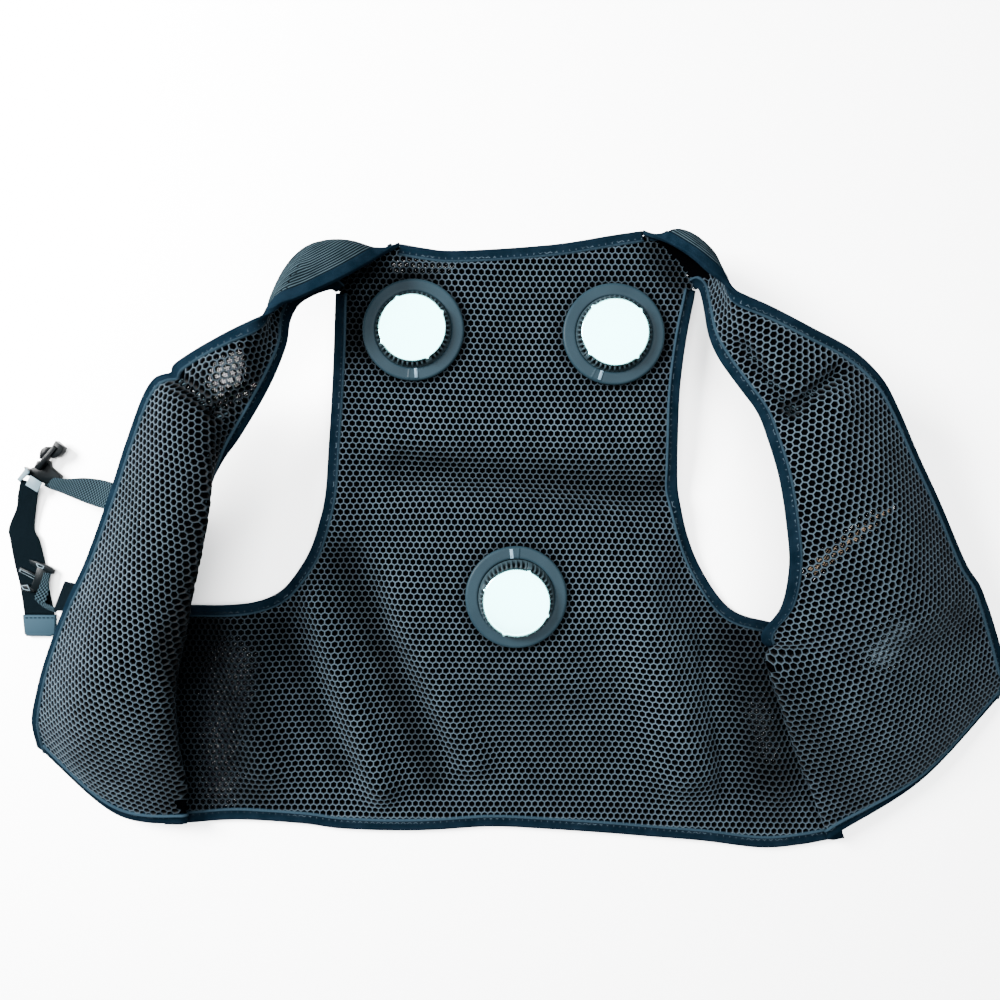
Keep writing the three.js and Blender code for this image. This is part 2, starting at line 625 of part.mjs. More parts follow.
function addCooler({ name, x, y, keyAngle, cornerAngle }) {
  const holder = new THREE.Group();
  holder.position.set(x, y, 0);
  vest.add(holder);
  const c = COOLER;
  const upper = c.seat + MESH_WALL / 2 + GAP;
  const lower = c.seat - MESH_WALL / 2 - GAP;
  const housing = turned([
    [0, 0], [c.housingFoot, 0], [c.housingRadius, c.housingChamfer], [c.housingRadius, lower], [0, lower],
  ]);
  add(`${name}_back_housing`, outward(housing), FINISH.black, holder);

  const flangeTop = upper + c.flangeHeight;
  const ring = turned([
    [c.flangeBore, upper], [c.flangeRadius, upper], [c.flangeRadius, flangeTop - c.flangeShoulder],
    [c.flangeRadius - c.flangeChamfer, flangeTop], [c.flangeBore, flangeTop], [c.flangeBore, upper],
  ]);
  const keyLength = c.flangeRadius - c.flangeChamfer - c.flangeBore - 2 * GAP;
  const key = new THREE.BoxGeometry(keyLength, c.keyWidth, c.keyRise + c.keyDepth);
  key.translate(c.flangeBore + GAP + keyLength / 2, 0, flangeTop + (c.keyRise - c.keyDepth) / 2);
  key.rotateZ(THREE.MathUtils.degToRad(keyAngle));
  add(`${name}_flange_ring`, geometryOf(solidOf(ring).add(solidOf(key))), FINISH.plastic, holder);

  const corner = THREE.MathUtils.degToRad(cornerAngle);
  const spread = (angle) => Math.abs(Math.sin((c.lugs / 2) * (angle - corner)));
  const teeth = circlePoints(2 * c.teeth, (k, angle) => (
    spread(angle) < c.lugSpread || k % 2 === 0 ? c.collarRadius : c.collarRoot
  ));
  const bore = circlePoints(c.teeth / 2, () => c.collarBore);
  add(`${name}_vent_collar`, prism(teeth, lower + GAP, c.collarTop, [bore.reverse()]), FINISH.black, holder);

  const rim = circlePoints(c.sides, (k, angle) => (
    c.plateRadius + (c.plateCorner - c.plateRadius) * Math.max(0, 1 - spread(angle) / c.cornerSpread)
  ));
  const plateLow = c.collarTop + GAP;
  add(`${name}_cold_plate`, prism(rim, plateLow, plateLow + c.plateHeight), FINISH.plate, holder);
}

// Webbing between two selvedges
function addWebbing(name, rows, material, carrier) {
  const off = (TAPE_WALL + WEBBING_WALL) / 2 + WEBBING_GAP;
  const against = (spot) => (spot.length === 3 ? spot : carrier.beyond(spot, off));
  const seated = rows.map((row) => ({ left: against(row.left), right: against(row.right) }));
  const sheet = new LoftedSheet(seated, ["left", "right"]);
  add(name, sheet.wall(3 * sheet.last, 1, WEBBING_WALL, (i) => i / 3, (i, j) => j), material);
}

function addOutlined(name, { low, high, outline }, material) {
  const middle = (low + high) / 2;
  add(name, outward(prism(outline.map((spot) => place([...spot, middle])), low, high)), material);
}

function addStrapGroup(carrier) {
  addWebbing("upper_strap", UPPER_STRAP, FINISH.webbing, carrier);
  addWebbing("tail_strap", TAIL_STRAP, FINISH.strap, carrier);
  addWebbing("lower_strap", LOWER_STRAP, FINISH.webbing, carrier);
  addWebbing("strap_anchor", STRAP_ANCHOR, FINISH.strap, carrier);
  addOutlined("strap_buckle", STRAP_BUCKLE, FINISH.black);
  addOutlined("lower_buckle", LOWER_BUCKLE, FINISH.black);
  const { left, right, top, bottom, height } = END_CLIP;
  const outline = [[left, top], [right, top], [right, bottom], [left, bottom]];
  addOutlined("strap_end_clip", { low: 0, high: height, outline }, FINISH.webbing);
}

// A flat piece against the outer face of a front panel, between four corners seen from above
function addUnder(name, sheet, { wall, corners }, material) {
  const spots = corners.map((corner) => sheet.find(corner));
  const cells = 4;
  const mix = (key, i, j) => {
    const [a, b, c, d] = spots.map((spot) => spot[key]);
    const [u, v] = [j / cells, i / cells];
    return (a * (1 - u) + b * u) * (1 - v) + (d * (1 - u) + c * u) * v;
  };
  const off = sheet.outer * ((MESH_WALL + wall) / 2 + UNDER_GAP);
  const rowAt = (i, j) => mix("s", i, j);
  const shareAt = (i, j) => mix("share", i, j);
  const piece = solidOf(sheet.wall(cells, cells, wall, rowAt, shareAt, off));
  add(name, geometryOf(piece.subtract(solidOf(sheet.clearance))), material);
}

addBack();
addStrapGroup(addFront("left", LEFT_ROWS, 12, [[0, 2], [3, 6]], 1));
const rightSheet = addFront("right", RIGHT_ROWS, 14, [[0, 2], [3, 5], [12, 16]], -1);
addUnder("outer_strip", rightSheet, OUTER_STRIP, FINISH.tan);
addUnder("outer_patch", rightSheet, OUTER_PATCH, FINISH.webbing);
COOLERS.forEach(addCooler);

const box = new THREE.Box3().setFromObject(vest);
const centre = box.getCenter(new THREE.Vector3());
vest.position.set(-centre.x, -centre.y, -box.min.z);

export default group;
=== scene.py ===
"""A cooling vest of spacer mesh, lying opened out with its inner face up.

The back panel carries three round coolers, the two front panels arch over at the shoulders and fold
over the side parts, tape binds every edge, and a strap group hangs from the left front edge.
Lengths are in millimetres in the view's own frame until a mesh is made, which is in metres.
"""

import logging
from dataclasses import dataclass, field, replace
from enum import Enum
from typing import Callable

import bpy
import numpy as np
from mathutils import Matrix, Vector


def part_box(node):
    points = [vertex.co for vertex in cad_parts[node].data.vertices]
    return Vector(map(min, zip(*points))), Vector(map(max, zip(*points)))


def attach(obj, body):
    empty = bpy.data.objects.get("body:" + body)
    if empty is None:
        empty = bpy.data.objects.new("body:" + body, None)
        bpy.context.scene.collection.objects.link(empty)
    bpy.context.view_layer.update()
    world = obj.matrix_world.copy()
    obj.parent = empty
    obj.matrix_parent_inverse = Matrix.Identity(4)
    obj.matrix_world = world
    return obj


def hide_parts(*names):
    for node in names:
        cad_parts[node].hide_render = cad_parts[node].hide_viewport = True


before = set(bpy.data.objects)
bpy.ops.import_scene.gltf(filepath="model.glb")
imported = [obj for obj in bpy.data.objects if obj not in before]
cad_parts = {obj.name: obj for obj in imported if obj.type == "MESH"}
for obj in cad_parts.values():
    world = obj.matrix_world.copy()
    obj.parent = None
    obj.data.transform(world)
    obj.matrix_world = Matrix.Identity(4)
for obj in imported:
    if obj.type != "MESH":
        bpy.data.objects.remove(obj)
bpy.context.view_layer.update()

log = logging.getLogger("cooling_vest")

Spot = tuple[float, ...]
Array = np.ndarray

# Walls, widths and clearances of the cloth, the tape and the webbing
MESH_WALL = 3.0
KNIT_TOP = -0.95
KNIT_FOOT = -1.5
MESH_MARGIN = 5.0
TAPE_WALL = 4.2
TAPE_WIDTH = 11.0
TAPE_GAP = 1.2
TAPE_RIDGE = 9.4
WEBBING_WALL = 1.4
WEBBING_GAP = 1.0
TAPE_END = 0.18
GAP = 0.3

# The knit's pores: their count to a centimetre both ways, and the stitch height below which it is
# open, first where it isn't thin at all and then how much it changes where it is thinnest
PORE_COUNTS = (3.2, 4.1)
PORE_LEVELS = (-1.02, 1.5)


class Side(Enum):
    """The two front panels. The value is the panel's name in the part."""

    LEFT = "left"
    RIGHT = "right"


class Weave(Enum):
    """How a webbing's threads cross: the two thread counts to a centimetre."""

    COARSE = (2.6, 2.6)
    FINE = (11.0, 8.0)


@dataclass(frozen=True)
class View:
    """The straight-down view in which outlines, folds and heights were measured."""

    height: float = 690.0
    focal: float = 720.0
    middle: float = 500.0

    def place(self, spots: Array) -> Array:
        """Finds places from pixels: offset from the middle times (view height - height) / focal.

        Args:
            spots: rows of across, down and height.

        Returns:
            The places, in millimetres.
        """
        spots = np.asarray(spots, float)
        scale = (self.height - spots[..., 2]) / self.focal
        x = (spots[..., 0] - self.middle) * scale
        y = (self.middle - spots[..., 1]) * scale
        return np.stack([x, y, spots[..., 2]], axis=-1)

    def level(self, pixels: Array, height: Array | float) -> Array:
        """Finds the places of pixels at one height, or at one height each."""
        return self.place(np.column_stack([pixels, np.full(len(pixels), height)]))

    def seen(self, places: Array) -> Array:
        """Finds the pixels where places are seen, the inverse of place.

        Args:
            places: points in millimetres.

        Returns:
            Rows of across and down.
        """
        scale = self.focal / (self.height - places[..., 2])
        across = self.middle + places[..., 0] * scale
        down = self.middle - places[..., 1] * scale
        return np.stack([across, down], axis=-1)


@dataclass(frozen=True)
class Fold:
    """A fold as a line in the view, with half its width and its rise in millimetres."""

    name: str
    start: tuple[float, float]
    end: tuple[float, float]
    width: float
    rise: float


@dataclass(frozen=True)
class CoolerPlace:
    """Where a cooler sits, and the angles of its key and of one corner of its plate."""

    name: str
    x: float
    y: float
    key_angle: float
    corner_angle: float
    lean: float = 0.0

    def away(self, spots: Array) -> Array:
        """Returns how far spots are from the cooler's axis, in plan."""
        return np.hypot(spots[..., 0] - self.x, spots[..., 1] - self.y)


@dataclass(frozen=True)
class Section:
    """One section of a front panel: across, down and height of its four columns."""

    name: str
    edge: Spot
    crest: Spot
    lip: Spot
    root: Spot


def all_of(kind: type, rows: tuple[tuple, ...]) -> tuple:
    """Makes one thing of a kind from each row of values."""
    return tuple(kind(*row) for row in rows)


VIEW = View()

COOLERS = (
    CoolerPlace("left", -80, 157, -90, 27),
    CoolerPlace("right", 105, 153, -112, 41),
    CoolerPlace("lower", 15, -89.5, 92, 68, 3.2),
)

BACK_FOLDS = all_of(Fold, (
    ("collar rise", (410, 252), (630, 244), 34, 11),
    ("upper ridge", (395, 424), (640, 432), 26, 6),
    ("cross dip", (405, 468), (655, 492), 17, -11),
    ("lower ridge", (400, 508), (660, 540), 26, 8),
    ("left armhole rise", (345, 340), (340, 520), 26, 9),
    ("right armhole rise", (672, 340), (668, 500), 26, 9),
    ("left valley", (350, 560), (436, 765), 13, -9),
    ("left ridge", (318, 605), (380, 790), 17, 13),
    ("left inner ridge", (405, 590), (470, 760), 20, 8),
    ("left side valley", (283, 625), (341, 775), 11, -5),
    ("left side ridge", (232, 625), (262, 770), 22, 9),
    ("right ridge", (642, 590), (688, 770), 30, 15),
    ("right valley", (712, 625), (736, 800), 13, -7),
    ("right side ridge", (752, 650), (782, 790), 18, 7),
))

# Each edge runs so that the panel lies to its left
BACK_EDGES: dict[str, tuple[tuple[float, float], ...]] = {
    "collar": (
        (641.4, 231.6), (610, 236), (560, 244), (500, 249), (450, 251), (426, 248.5), (400.6, 244.2),
    ),
    "left_armhole": (
        (336, 294), (334, 350), (332, 400), (329, 450), (325, 500), (315, 538), (302, 565),
        (283, 589), (258, 601), (225, 605), (190, 605), (160, 606),
    ),
    "hem": (
        (176, 823), (192, 822), (240, 819), (303, 823), (341, 828), (399, 830), (440, 829),
        (490, 826), (540, 828), (600, 832), (650, 836), (700, 840), (760, 847), (800, 844),
        (833, 838),
    ),
    "right_armhole": (
        (800, 626), (767, 621), (731, 609), (703, 573), (684, 525), (677, 470), (679, 400),
        (686, 340), (695, 292),
    ),
}
# The tapes of those edges, in the same order
BACK_BINDINGS = ("collar", "left_armhole_back", "hem", "right_armhole_back")

LEFT_SECTIONS = all_of(Section, (
    ("shoulder seam", (400, 244), (378, 257), (357, 276), (335, 291)),
    ("rise", (372, 261, 58), (352, 242, 52), (331, 257, 34), (329, 290, 24)),
    ("cap", (345, 276, 80), (318, 244, 66), (299, 264, 42), (313, 296, 30)),
    ("cap turn", (318, 289, 87), (294, 262, 72), (281, 285, 49), (299, 305, 36)),
    ("cap end", (290, 302, 89), (275, 292, 78), (271, 311, 59), (290, 321, 42)),
    ("strap", (262, 315, 88), (260, 324, 84), (266, 340, 68), (285, 347, 48)),
    ("yoke", (222, 335, 84), (231, 351, 86), (247, 370, 76), (268, 388, 56)),
    ("yoke corner", (182, 359, 76), (200, 384, 84), (220, 409, 82), (240, 436, 62)),
    ("upper roll", (150, 385, 66), (175, 418, 86), (208, 450, 90), (220, 463, 62)),
    ("roll", (128, 440, 56), (160, 470, 82), (208, 498, 90), (198, 507, 58)),
    ("chest", (112, 490, 47), (150, 520, 82), (201, 545, 86), (184, 553, 50)),
    ("lower chest", (87, 560, 38), (130, 584, 78), (191, 596, 80), (165, 600, 30)),
    ("seam top", (66, 606, 31), (112, 625, 74), (184, 634, 74), (154, 626, 8)),
    ("side", (46, 661, 23), (95, 680, 68), (172, 690, 66), (158, 690, 3.4)),
    ("lower side", (36, 700, 17), (86, 727, 54), (174, 743, 50), (161, 745, 3.4)),
    ("above hem", (33, 722, 12), (92, 768, 34), (184, 788, 30), (165, 790, 3.4)),
    ("hem", (38, 745, 5), (117, 813, 11), (184, 823, 17), (166, 824, 3)),
))

RIGHT_SECTIONS = all_of(Section, (
    ("shoulder seam", (642, 231.5), (660, 246), (680, 267), (697, 288)),
    ("rise", (668, 243, 55), (676, 230, 49), (698, 246, 36), (700, 289, 26)),
    ("cap", (692, 257, 82), (702, 243, 70), (716, 262, 46), (702, 296, 32)),
    ("cap turn", (712, 274, 88), (720, 266, 80), (722, 284, 60), (705, 310, 38)),
    ("strap", (740, 292, 88), (738, 303, 84), (729, 321, 68), (710, 337, 46)),
    ("yoke", (772, 307, 87), (765, 325, 86), (747, 344, 74), (720, 360, 54)),
    ("lower yoke", (812, 328, 84), (797, 352, 86), (769, 372, 78), (739, 387, 60)),
    ("yoke corner", (852, 350, 78), (828, 386, 84), (790, 405, 80), (757, 412, 66)),
    ("upper chest", (880, 377, 72), (848, 415, 86), (806, 434, 86), (768, 440, 70)),
    ("roll", (896, 406, 65), (864, 447, 86), (818, 466, 88), (779, 478, 74)),
    ("chest", (917, 455, 57), (885, 493, 84), (832, 512, 88), (786, 523, 76)),
    ("lower chest", (939, 503, 49), (903, 541, 80), (845, 557, 84), (789, 566, 74)),
    ("above tip", (964, 562, 40), (915, 592, 76), (850, 600, 78), (781, 607, 64)),
    ("tip", (978, 584, 35), (918, 616, 72), (826, 630, 70), (761, 635, 52)),
    ("fold", (985, 601, 31), (905, 638, 68), (790, 643, 60), (772, 648, 38)),
    ("seam top", (990, 615, 28), (890, 655, 64), (768, 657, 46), (812, 664, 6)),
    ("side", (999, 645, 22), (885, 697, 56), (784, 709, 42), (820, 712, 3.4)),
    ("lower side", (1004, 664, 17), (902, 737, 42), (800, 755, 32), (828, 760, 3.4)),
    ("above hem", (1007, 674, 12), (915, 766, 26), (818, 797, 24), (836, 800, 3.4)),
    ("hem", (1003, 690, 5), (920, 779, 11), (833, 835, 15), (843, 838, 3)),
))

# Places where the knit is stretched thin, so that its pores show what lies behind: the last number
# is how thin it gets there
THIN_PLACES = all_of(Fold, (
    ("left side", (228, 660), (224, 790), 26, 0.43),
    ("left yoke", (208, 382), (240, 374), 21, 0.17),
    ("right side", (760, 708), (772, 752), 16, 0.36),
    ("under the collar", (395, 266), (450, 268), 7, 0.13),
    ("over the strip", (812, 571), (890, 508), 5, 1.2),
    ("over the patch", (882, 655), (906, 633), 15, 1.3),
    ("left roll", (138, 521), (140, 527), 5, 0.45),
))

# Painted light and shade on the net's yarn, darker in hollows, creases and where the fronts shade
# the back and lighter on ridges and on sides facing the light: the last number is added to its lightness
PAINTED_LIGHT_AND_SHADE = all_of(Fold, (
    ("upper ridge", (395, 424), (640, 432), 24, 0.22),
    ("cross dip", (405, 464), (655, 492), 19, -0.5),
    ("lower right", (610, 590), (690, 700), 46, 0.34),
    ("below the lower cooler", (500, 690), (560, 770), 50, -0.12),
    ("left valley", (345, 560), (432, 775), 21, -0.65),
    ("left side valley", (283, 625), (341, 770), 13, -0.4),
    ("left side", (232, 640), (240, 790), 62, -0.58),
    ("right side", (732, 640), (768, 775), 38, -0.78),
    ("upper left corner", (344, 270), (342, 345), 26, -0.85),
    ("right shoulder", (655, 250), (694, 300), 17, -0.6),
    ("beside the right armhole", (672, 330), (668, 480), 14, -0.35),
    ("left front's outer side", (96, 570), (48, 700), 36, 0.22),
    ("left crest", (212, 440), (184, 640), 36, -0.72),
    ("left lower crest", (176, 660), (176, 815), 30, -0.45),
    ("left yoke's shade", (190, 388), (246, 372), 24, -0.5),
    ("right of the left yoke", (250, 350), (268, 330), 14, -0.3),
    ("above the left cooler", (372, 272), (436, 270), 12, -0.5),
    ("left yoke crease", (168, 374), (216, 412), 9, -0.45),
    ("left yoke corner", (216, 412), (270, 380), 9, -0.45),
    ("right yoke crease", (744, 348), (790, 412), 10, -0.4),
    ("right yoke corner", (790, 412), (850, 368), 10, -0.5),
    ("right chest", (826, 404), (838, 470), 16, 0.15),
    ("right roll", (930, 480), (975, 620), 30, -0.2),
    ("right lower", (800, 690), (850, 800), 26, -0.3),
))

LEFT_CREASES = all_of(Fold, (
    ("yoke crease", (166, 372), (215, 410), 7, -8),
    ("yoke corner crease", (215, 410), (272, 378), 7, -8),
    ("yoke facet", (212, 372), (240, 384), 12, 4),
    ("strap crease", (300, 268), (282, 300), 7, -3),
))

RIGHT_CREASES = all_of(Fold, (
    ("yoke crease", (742, 346), (790, 410), 7, -8),
    ("yoke corner crease", (790, 410), (838, 372), 7, -8),
    ("yoke facet", (780, 372), (800, 388), 12, 4),
    ("chest facet", (822, 398), (842, 404), 13, 4),
))

# Selvedges of the webbing: a place without a height lies against the tape that is seen there
Selvedges = tuple[tuple[Spot, Spot], ...]
UPPER_STRAP: Selvedges = (
    ((121, 487), (112, 512)),
    ((115, 484.5), (105, 510)),
    ((103, 480, 34), (93, 505.5, 27)),
    ((84, 477.8, 26), (75, 498.5, 16)),
    ((71, 478.6, 18), (62, 493, 9)),
    ((61, 478.4, 12), (50, 488.6, 5)),
    ((55, 477.6, 8), (44, 485.4, 3)),
)
TAIL_STRAP: Selvedges = (
    ((21, 479, 7.4), (39.5, 486, 8)),
    ((18, 494.5, 5), (37.8, 495, 6)),
    ((16.5, 508, 3.2), (36, 510, 3.8)),
    ((9, 528, 1.8), (34.5, 529, 2.6)),
    ((10.5, 541, 3.2), (39.5, 540.5, 2.8)),
    ((15, 565, 1.3), (45, 562, 1.3)),
    ((20, 585, 1.2), (48, 582, 1.2)),
    ((24.6, 614.6, 1.2), (54.6, 614.6, 1.2)),
)
LOWER_STRAP: Selvedges = (
    ((44, 572.6, 7), (50.6, 573.4, 7)),
    ((41, 582, 7), (48.8, 583, 7)),
    ((37.6, 591, 7), (48.8, 591, 7)),
    ((35, 599, 7.2), (45.6, 603.6, 8)),
    ((45, 608, 9.8), (48.5, 604.6, 11.2)),
    ((56, 612.6, 14.5), (57.5, 608.8, 16.2)),
)
STRAP_ANCHOR: Selvedges = (
    ((65, 581, 23), (54, 611, 15.5)),
    ((75.5, 584), (65, 611)),
    ((81, 586), (70, 613)),
)


@dataclass(frozen=True)
class Moulding:
    """A flat moulded part seen from above: the heights that it reaches between, and its outline."""

    name: str
    low: float
    high: float
    outline: tuple[Spot, ...]


UPPER_BUCKLE = (
    Moulding("hook", 4.0, 11.0, (
        (57.5, 441), (65.6, 447.6), (64, 452.4), (60, 456.6), (54.4, 458.6), (51, 455), (53, 448),
    )),
    Moulding("bar", 7.4, 12.6, ((54.4, 445.2), (58, 448.2), (40.2, 470.4), (35.6, 467.6))),
    Moulding("lever", 3.0, 9.0, (
        (43, 449.2), (47, 446.8), (52.6, 446.8), (50, 451.4), (44.4, 458.8), (41, 459), (41.4, 453),
    )),
    Moulding("body", 0.6, 6.6, (
        (39, 461), (50, 460.6), (51.4, 467), (61.8, 475.6), (60, 480.6), (46.4, 484), (36, 478.6),
        (27.4, 475), (25.8, 466.8), (30.2, 469.2), (35.8, 467),
    )),
)
BUCKLE_STRIPS = (
    Moulding("thin strip", 8.6, 10.4, ((26.3, 467.8), (29.8, 472.6), (20, 482), (17.3, 479.4))),
    Moulding("keeper", 9.0, 10.4, ((30.4, 475.3), (42.3, 482.8), (37.4, 492.4), (25.6, 485))),
)
LOWER_BUCKLE = (
    Moulding("upper prong", 2.6, 6.0, (
        (29.7, 559.4), (39.3, 561.7), (51.6, 567.2), (55, 570.8), (53.6, 574.2), (47.4, 572.2),
        (36, 567.2), (31, 563.2),
    )),
    Moulding("middle prong", 2.4, 5.6, (
        (20.8, 567), (31, 571.4), (41.6, 577.4), (38.6, 582), (32.4, 578.2), (24.9, 574), (19, 571.4),
    )),
    Moulding("lower prong", 2.2, 5.4, (
        (20.6, 585), (27.8, 584.2), (33, 587.8), (36, 592.2), (30.4, 592), (22.8, 590),
    )),
    Moulding("body", 3.2, 6.4, (
        (38, 566.6), (47.5, 571.6), (44.4, 582), (38, 592.4), (31.6, 588), (34.6, 579),
    )),
)
PRONG_HOLES = (
    Moulding("upper", 6.1, 6.9, ((36.4, 563.4), (44, 566.2), (42.8, 568.6), (38, 566.8))),
    Moulding("middle", 5.7, 6.5, ((20.4, 569.2), (38.8, 578.6), (37.2, 580.6), (20, 571.6))),
    Moulding("lower", 5.5, 6.3, ((21.4, 586), (27.4, 585.2), (30, 590.6), (23.6, 589.2))),
)
END_CLIP = Moulding("end clip", 0.0, 3.4, (
    (23.5, 614.8), (55.8, 614.8), (55.6, 633.6), (51, 636), (27.4, 636), (25.2, 633.4),
))
CLIP_STITCHES = {
    "first": 25.4, "last": 51.0, "down": 617.4, "count": 7, "length": 2.5, "width": 0.8, "high": 3.9,
    "sunk": 0.3, "bevel": 0.15,
}

# Corners of what is sewn to the outer face of the right front panel, where the mesh shows it
OUTER_STRIP = ((800, 563), (888, 495), (898, 511), (811, 581))
OUTER_PATCH = ((856, 641), (909, 607), (933, 640), (870, 682))


def length_of(vectors: Array) -> Array:
    """Returns the length of each vector, with its axis kept."""
    return np.linalg.norm(vectors, axis=-1, keepdims=True)


def run_of(points: Array) -> Array:
    """Returns how far along a line each of its points lies."""
    return np.concatenate([[0], np.cumsum(length_of(np.diff(points, axis=0))[:, 0])])


def pairs(first: Array, second: Array) -> list[Array]:
    """Returns a table of each of two rows of values, the first going down and the second across."""
    return np.meshgrid(first, second, indexing="ij")


def direction(angle: Array | float) -> Array:
    """Returns the unit vector in the plane at each angle."""
    return np.stack([np.cos(angle), np.sin(angle)], axis=-1)


def neighbours(padded: Array) -> tuple[Array, ...]:
    """Returns a padded table moved so that each item meets those above, below, left and right."""
    return padded[:-2, 1:-1], padded[2:, 1:-1], padded[1:-1, :-2], padded[1:-1, 2:]


def cell_of(table: Array, row: Array, column: Array) -> tuple[Array, Array, Array, Array]:
    """Returns the table's cell about each row and column value, and the shares of it passed."""
    i, j = (np.clip(np.floor(k), 0, n - 2).astype(int) for k, n in zip((row, column), table.shape))
    return i, j, (row - i)[..., None], (column - j)[..., None]


def bell(away: Array, width: float) -> Array:
    """Returns a bell curve of a distance: 1 at none, falling to 1/e at the width."""
    return np.exp(-((away / width) ** 2))


def smooth_curve(points: Array, shares: Array) -> Array:
    """Evaluates a uniform Catmull-Rom curve of tension one half.

    Between two points the curve is the cubic that meets both with slopes of half the chord of
    their neighbours. Past each end the chord is repeated.

    Args:
        points: the points, along the first axis.
        shares: where on the curve, from 0 to 1.

    Returns:
        A place for each share, along the first axis.
    """
    points = np.asarray(points, float)
    padded = np.concatenate(
        [2 * points[:1] - points[1:2], points, 2 * points[-1:] - points[-2:-1]]
    )
    spans = len(points) - 1
    at = np.clip(np.asarray(shares, float) * spans, 0, spans)
    first = np.minimum(at.astype(int), spans - 1)
    w = (at - first).reshape((-1,) + (1,) * (points.ndim - 1))
    p0, p1, p2, p3 = (padded[first + k] for k in range(4))
    t0, t1 = 0.5 * (p2 - p0), 0.5 * (p3 - p1)
    return (
        p1
        + t0 * w
        + (3 * (p2 - p1) - 2 * t0 - t1) * w**2
        + (2 * (p1 - p2) + t0 + t1) * w**3
    )


def even_points(points: Array, count: int) -> Array:
    """Spaces points evenly by length along the smooth curve through the given ones.

    Args:
        points: the curve's points.
        count: how many divisions.

    Returns:
        count + 1 places.
    """
    dense = smooth_curve(points, np.linspace(0, 1, 24 * count + 1))
    run = run_of(dense)
    wanted = np.linspace(0, run[-1], count + 1)
    return np.stack([np.interp(wanted, run, dense[:, k]) for k in range(3)], axis=-1)


def beside(points: Array, distance: float) -> Array:
    """Moves a line's points sideways in plan, to its left if the distance is positive.

    Args:
        points: the line's points.
        distance: how far.

    Returns:
        The moved points.
    """
    way = np.gradient(points[:, :2], axis=0)
    way /= length_of(way)
    moved = points.copy()
    moved[:, 0] -= way[:, 1] * distance
    moved[:, 1] += way[:, 0] * distance
    return moved


def line_distance(spots: Array, start: Array, end: Array) -> Array:
    """Finds how far spots are from a line between two points, in the plane.

    Args:
        spots: points of two coordinates.
        start: the line's start.
        end: the line's end.

    Returns:
        The distances.
    """
    way = np.asarray(end, float)[:2] - np.asarray(start, float)[:2]
    off = spots - np.asarray(start, float)[:2]
    t = np.clip(off @ way / (way @ way), 0, 1)
    return np.linalg.norm(off - t[..., None] * way, axis=-1)


def inside_outline(spots: Array, outline: Array) -> Array:
    """Tells which spots lie inside a closed outline, by counting the sides crossed to the right.

    Args:
        spots: points, as rows of x and y.
        outline: the outline's corners in order.

    Returns:
        True for the spots inside.
    """
    x, y = spots[:, :1], spots[:, 1:2]
    x0, y0 = outline[:, 0], outline[:, 1]
    x1, y1 = np.roll(x0, -1), np.roll(y0, -1)
    rise = np.where(y1 == y0, 1e-9, y1 - y0)
    crossed = ((y0 > y) != (y1 > y)) & (x < (x1 - x0) * (y - y0) / rise + x0)
    return crossed.sum(axis=1) % 2 == 1


def summed(places: Array, folds: tuple[Fold, ...]) -> Array:
    """Adds up bell curves about lines of the view.

    Args:
        places: points in millimetres.
        folds: the lines, with their widths and what each adds on its middle.

    Returns:
        The sum at each place.
    """
    pixels = VIEW.seen(places)
    total = np.zeros(places.shape[:-1])
    for fold in folds:
        total += fold.rise * bell(line_distance(pixels, fold.start, fold.end), fold.width)
    return total


@dataclass
class Shape:
    """A mesh being made: points in millimetres, four-cornered faces, and end caps."""

    points: Array
    quads: Array
    corner_uv: Array
    caps: list[Array] = field(default_factory=list)
    depth: Array | None = None
    slots: Array | None = None
    # painted light and shade, which scales the colour of the piece's material
    tone: Array | None = None

    def volume(self) -> float:
        """Returns the signed volume, which is positive if the faces point out."""
        middle = self.points.mean(axis=0)
        total = 0.0
        for corners in [self.quads, *[cap[None] for cap in self.caps]]:
            first = self.points[corners[:, 0]] - middle
            for k in range(1, corners.shape[1] - 1):
                second = self.points[corners[:, k]] - middle
                third = self.points[corners[:, k + 1]] - middle
                total += float(np.einsum("ij,ij->", first, np.cross(second, third)))
        return total / 6

    def flipped(self) -> "Shape":
        """Returns the shape with every face turned round."""
        caps = [cap[::-1] for cap in self.caps]
        return replace(self, quads=self.quads[:, ::-1], corner_uv=self.corner_uv[:, ::-1], caps=caps)

    def outward(self) -> "Shape":
        """Returns the closed shape with its faces pointing out."""
        return self if self.volume() > 0 else self.flipped()


def joined(shapes: list[Shape]) -> Shape:
    """Joins shapes into one.

    Args:
        shapes: the shapes.

    Returns:
        One shape that holds all their faces.
    """
    starts = np.cumsum([0] + [len(shape.points) for shape in shapes[:-1]])
    return Shape(
        np.concatenate([shape.points for shape in shapes]),
        np.concatenate([shape.quads + start for shape, start in zip(shapes, starts)]),
        np.concatenate([shape.corner_uv for shape in shapes]),
        [cap + start for shape, start in zip(shapes, starts) for cap in shape.caps],
    )


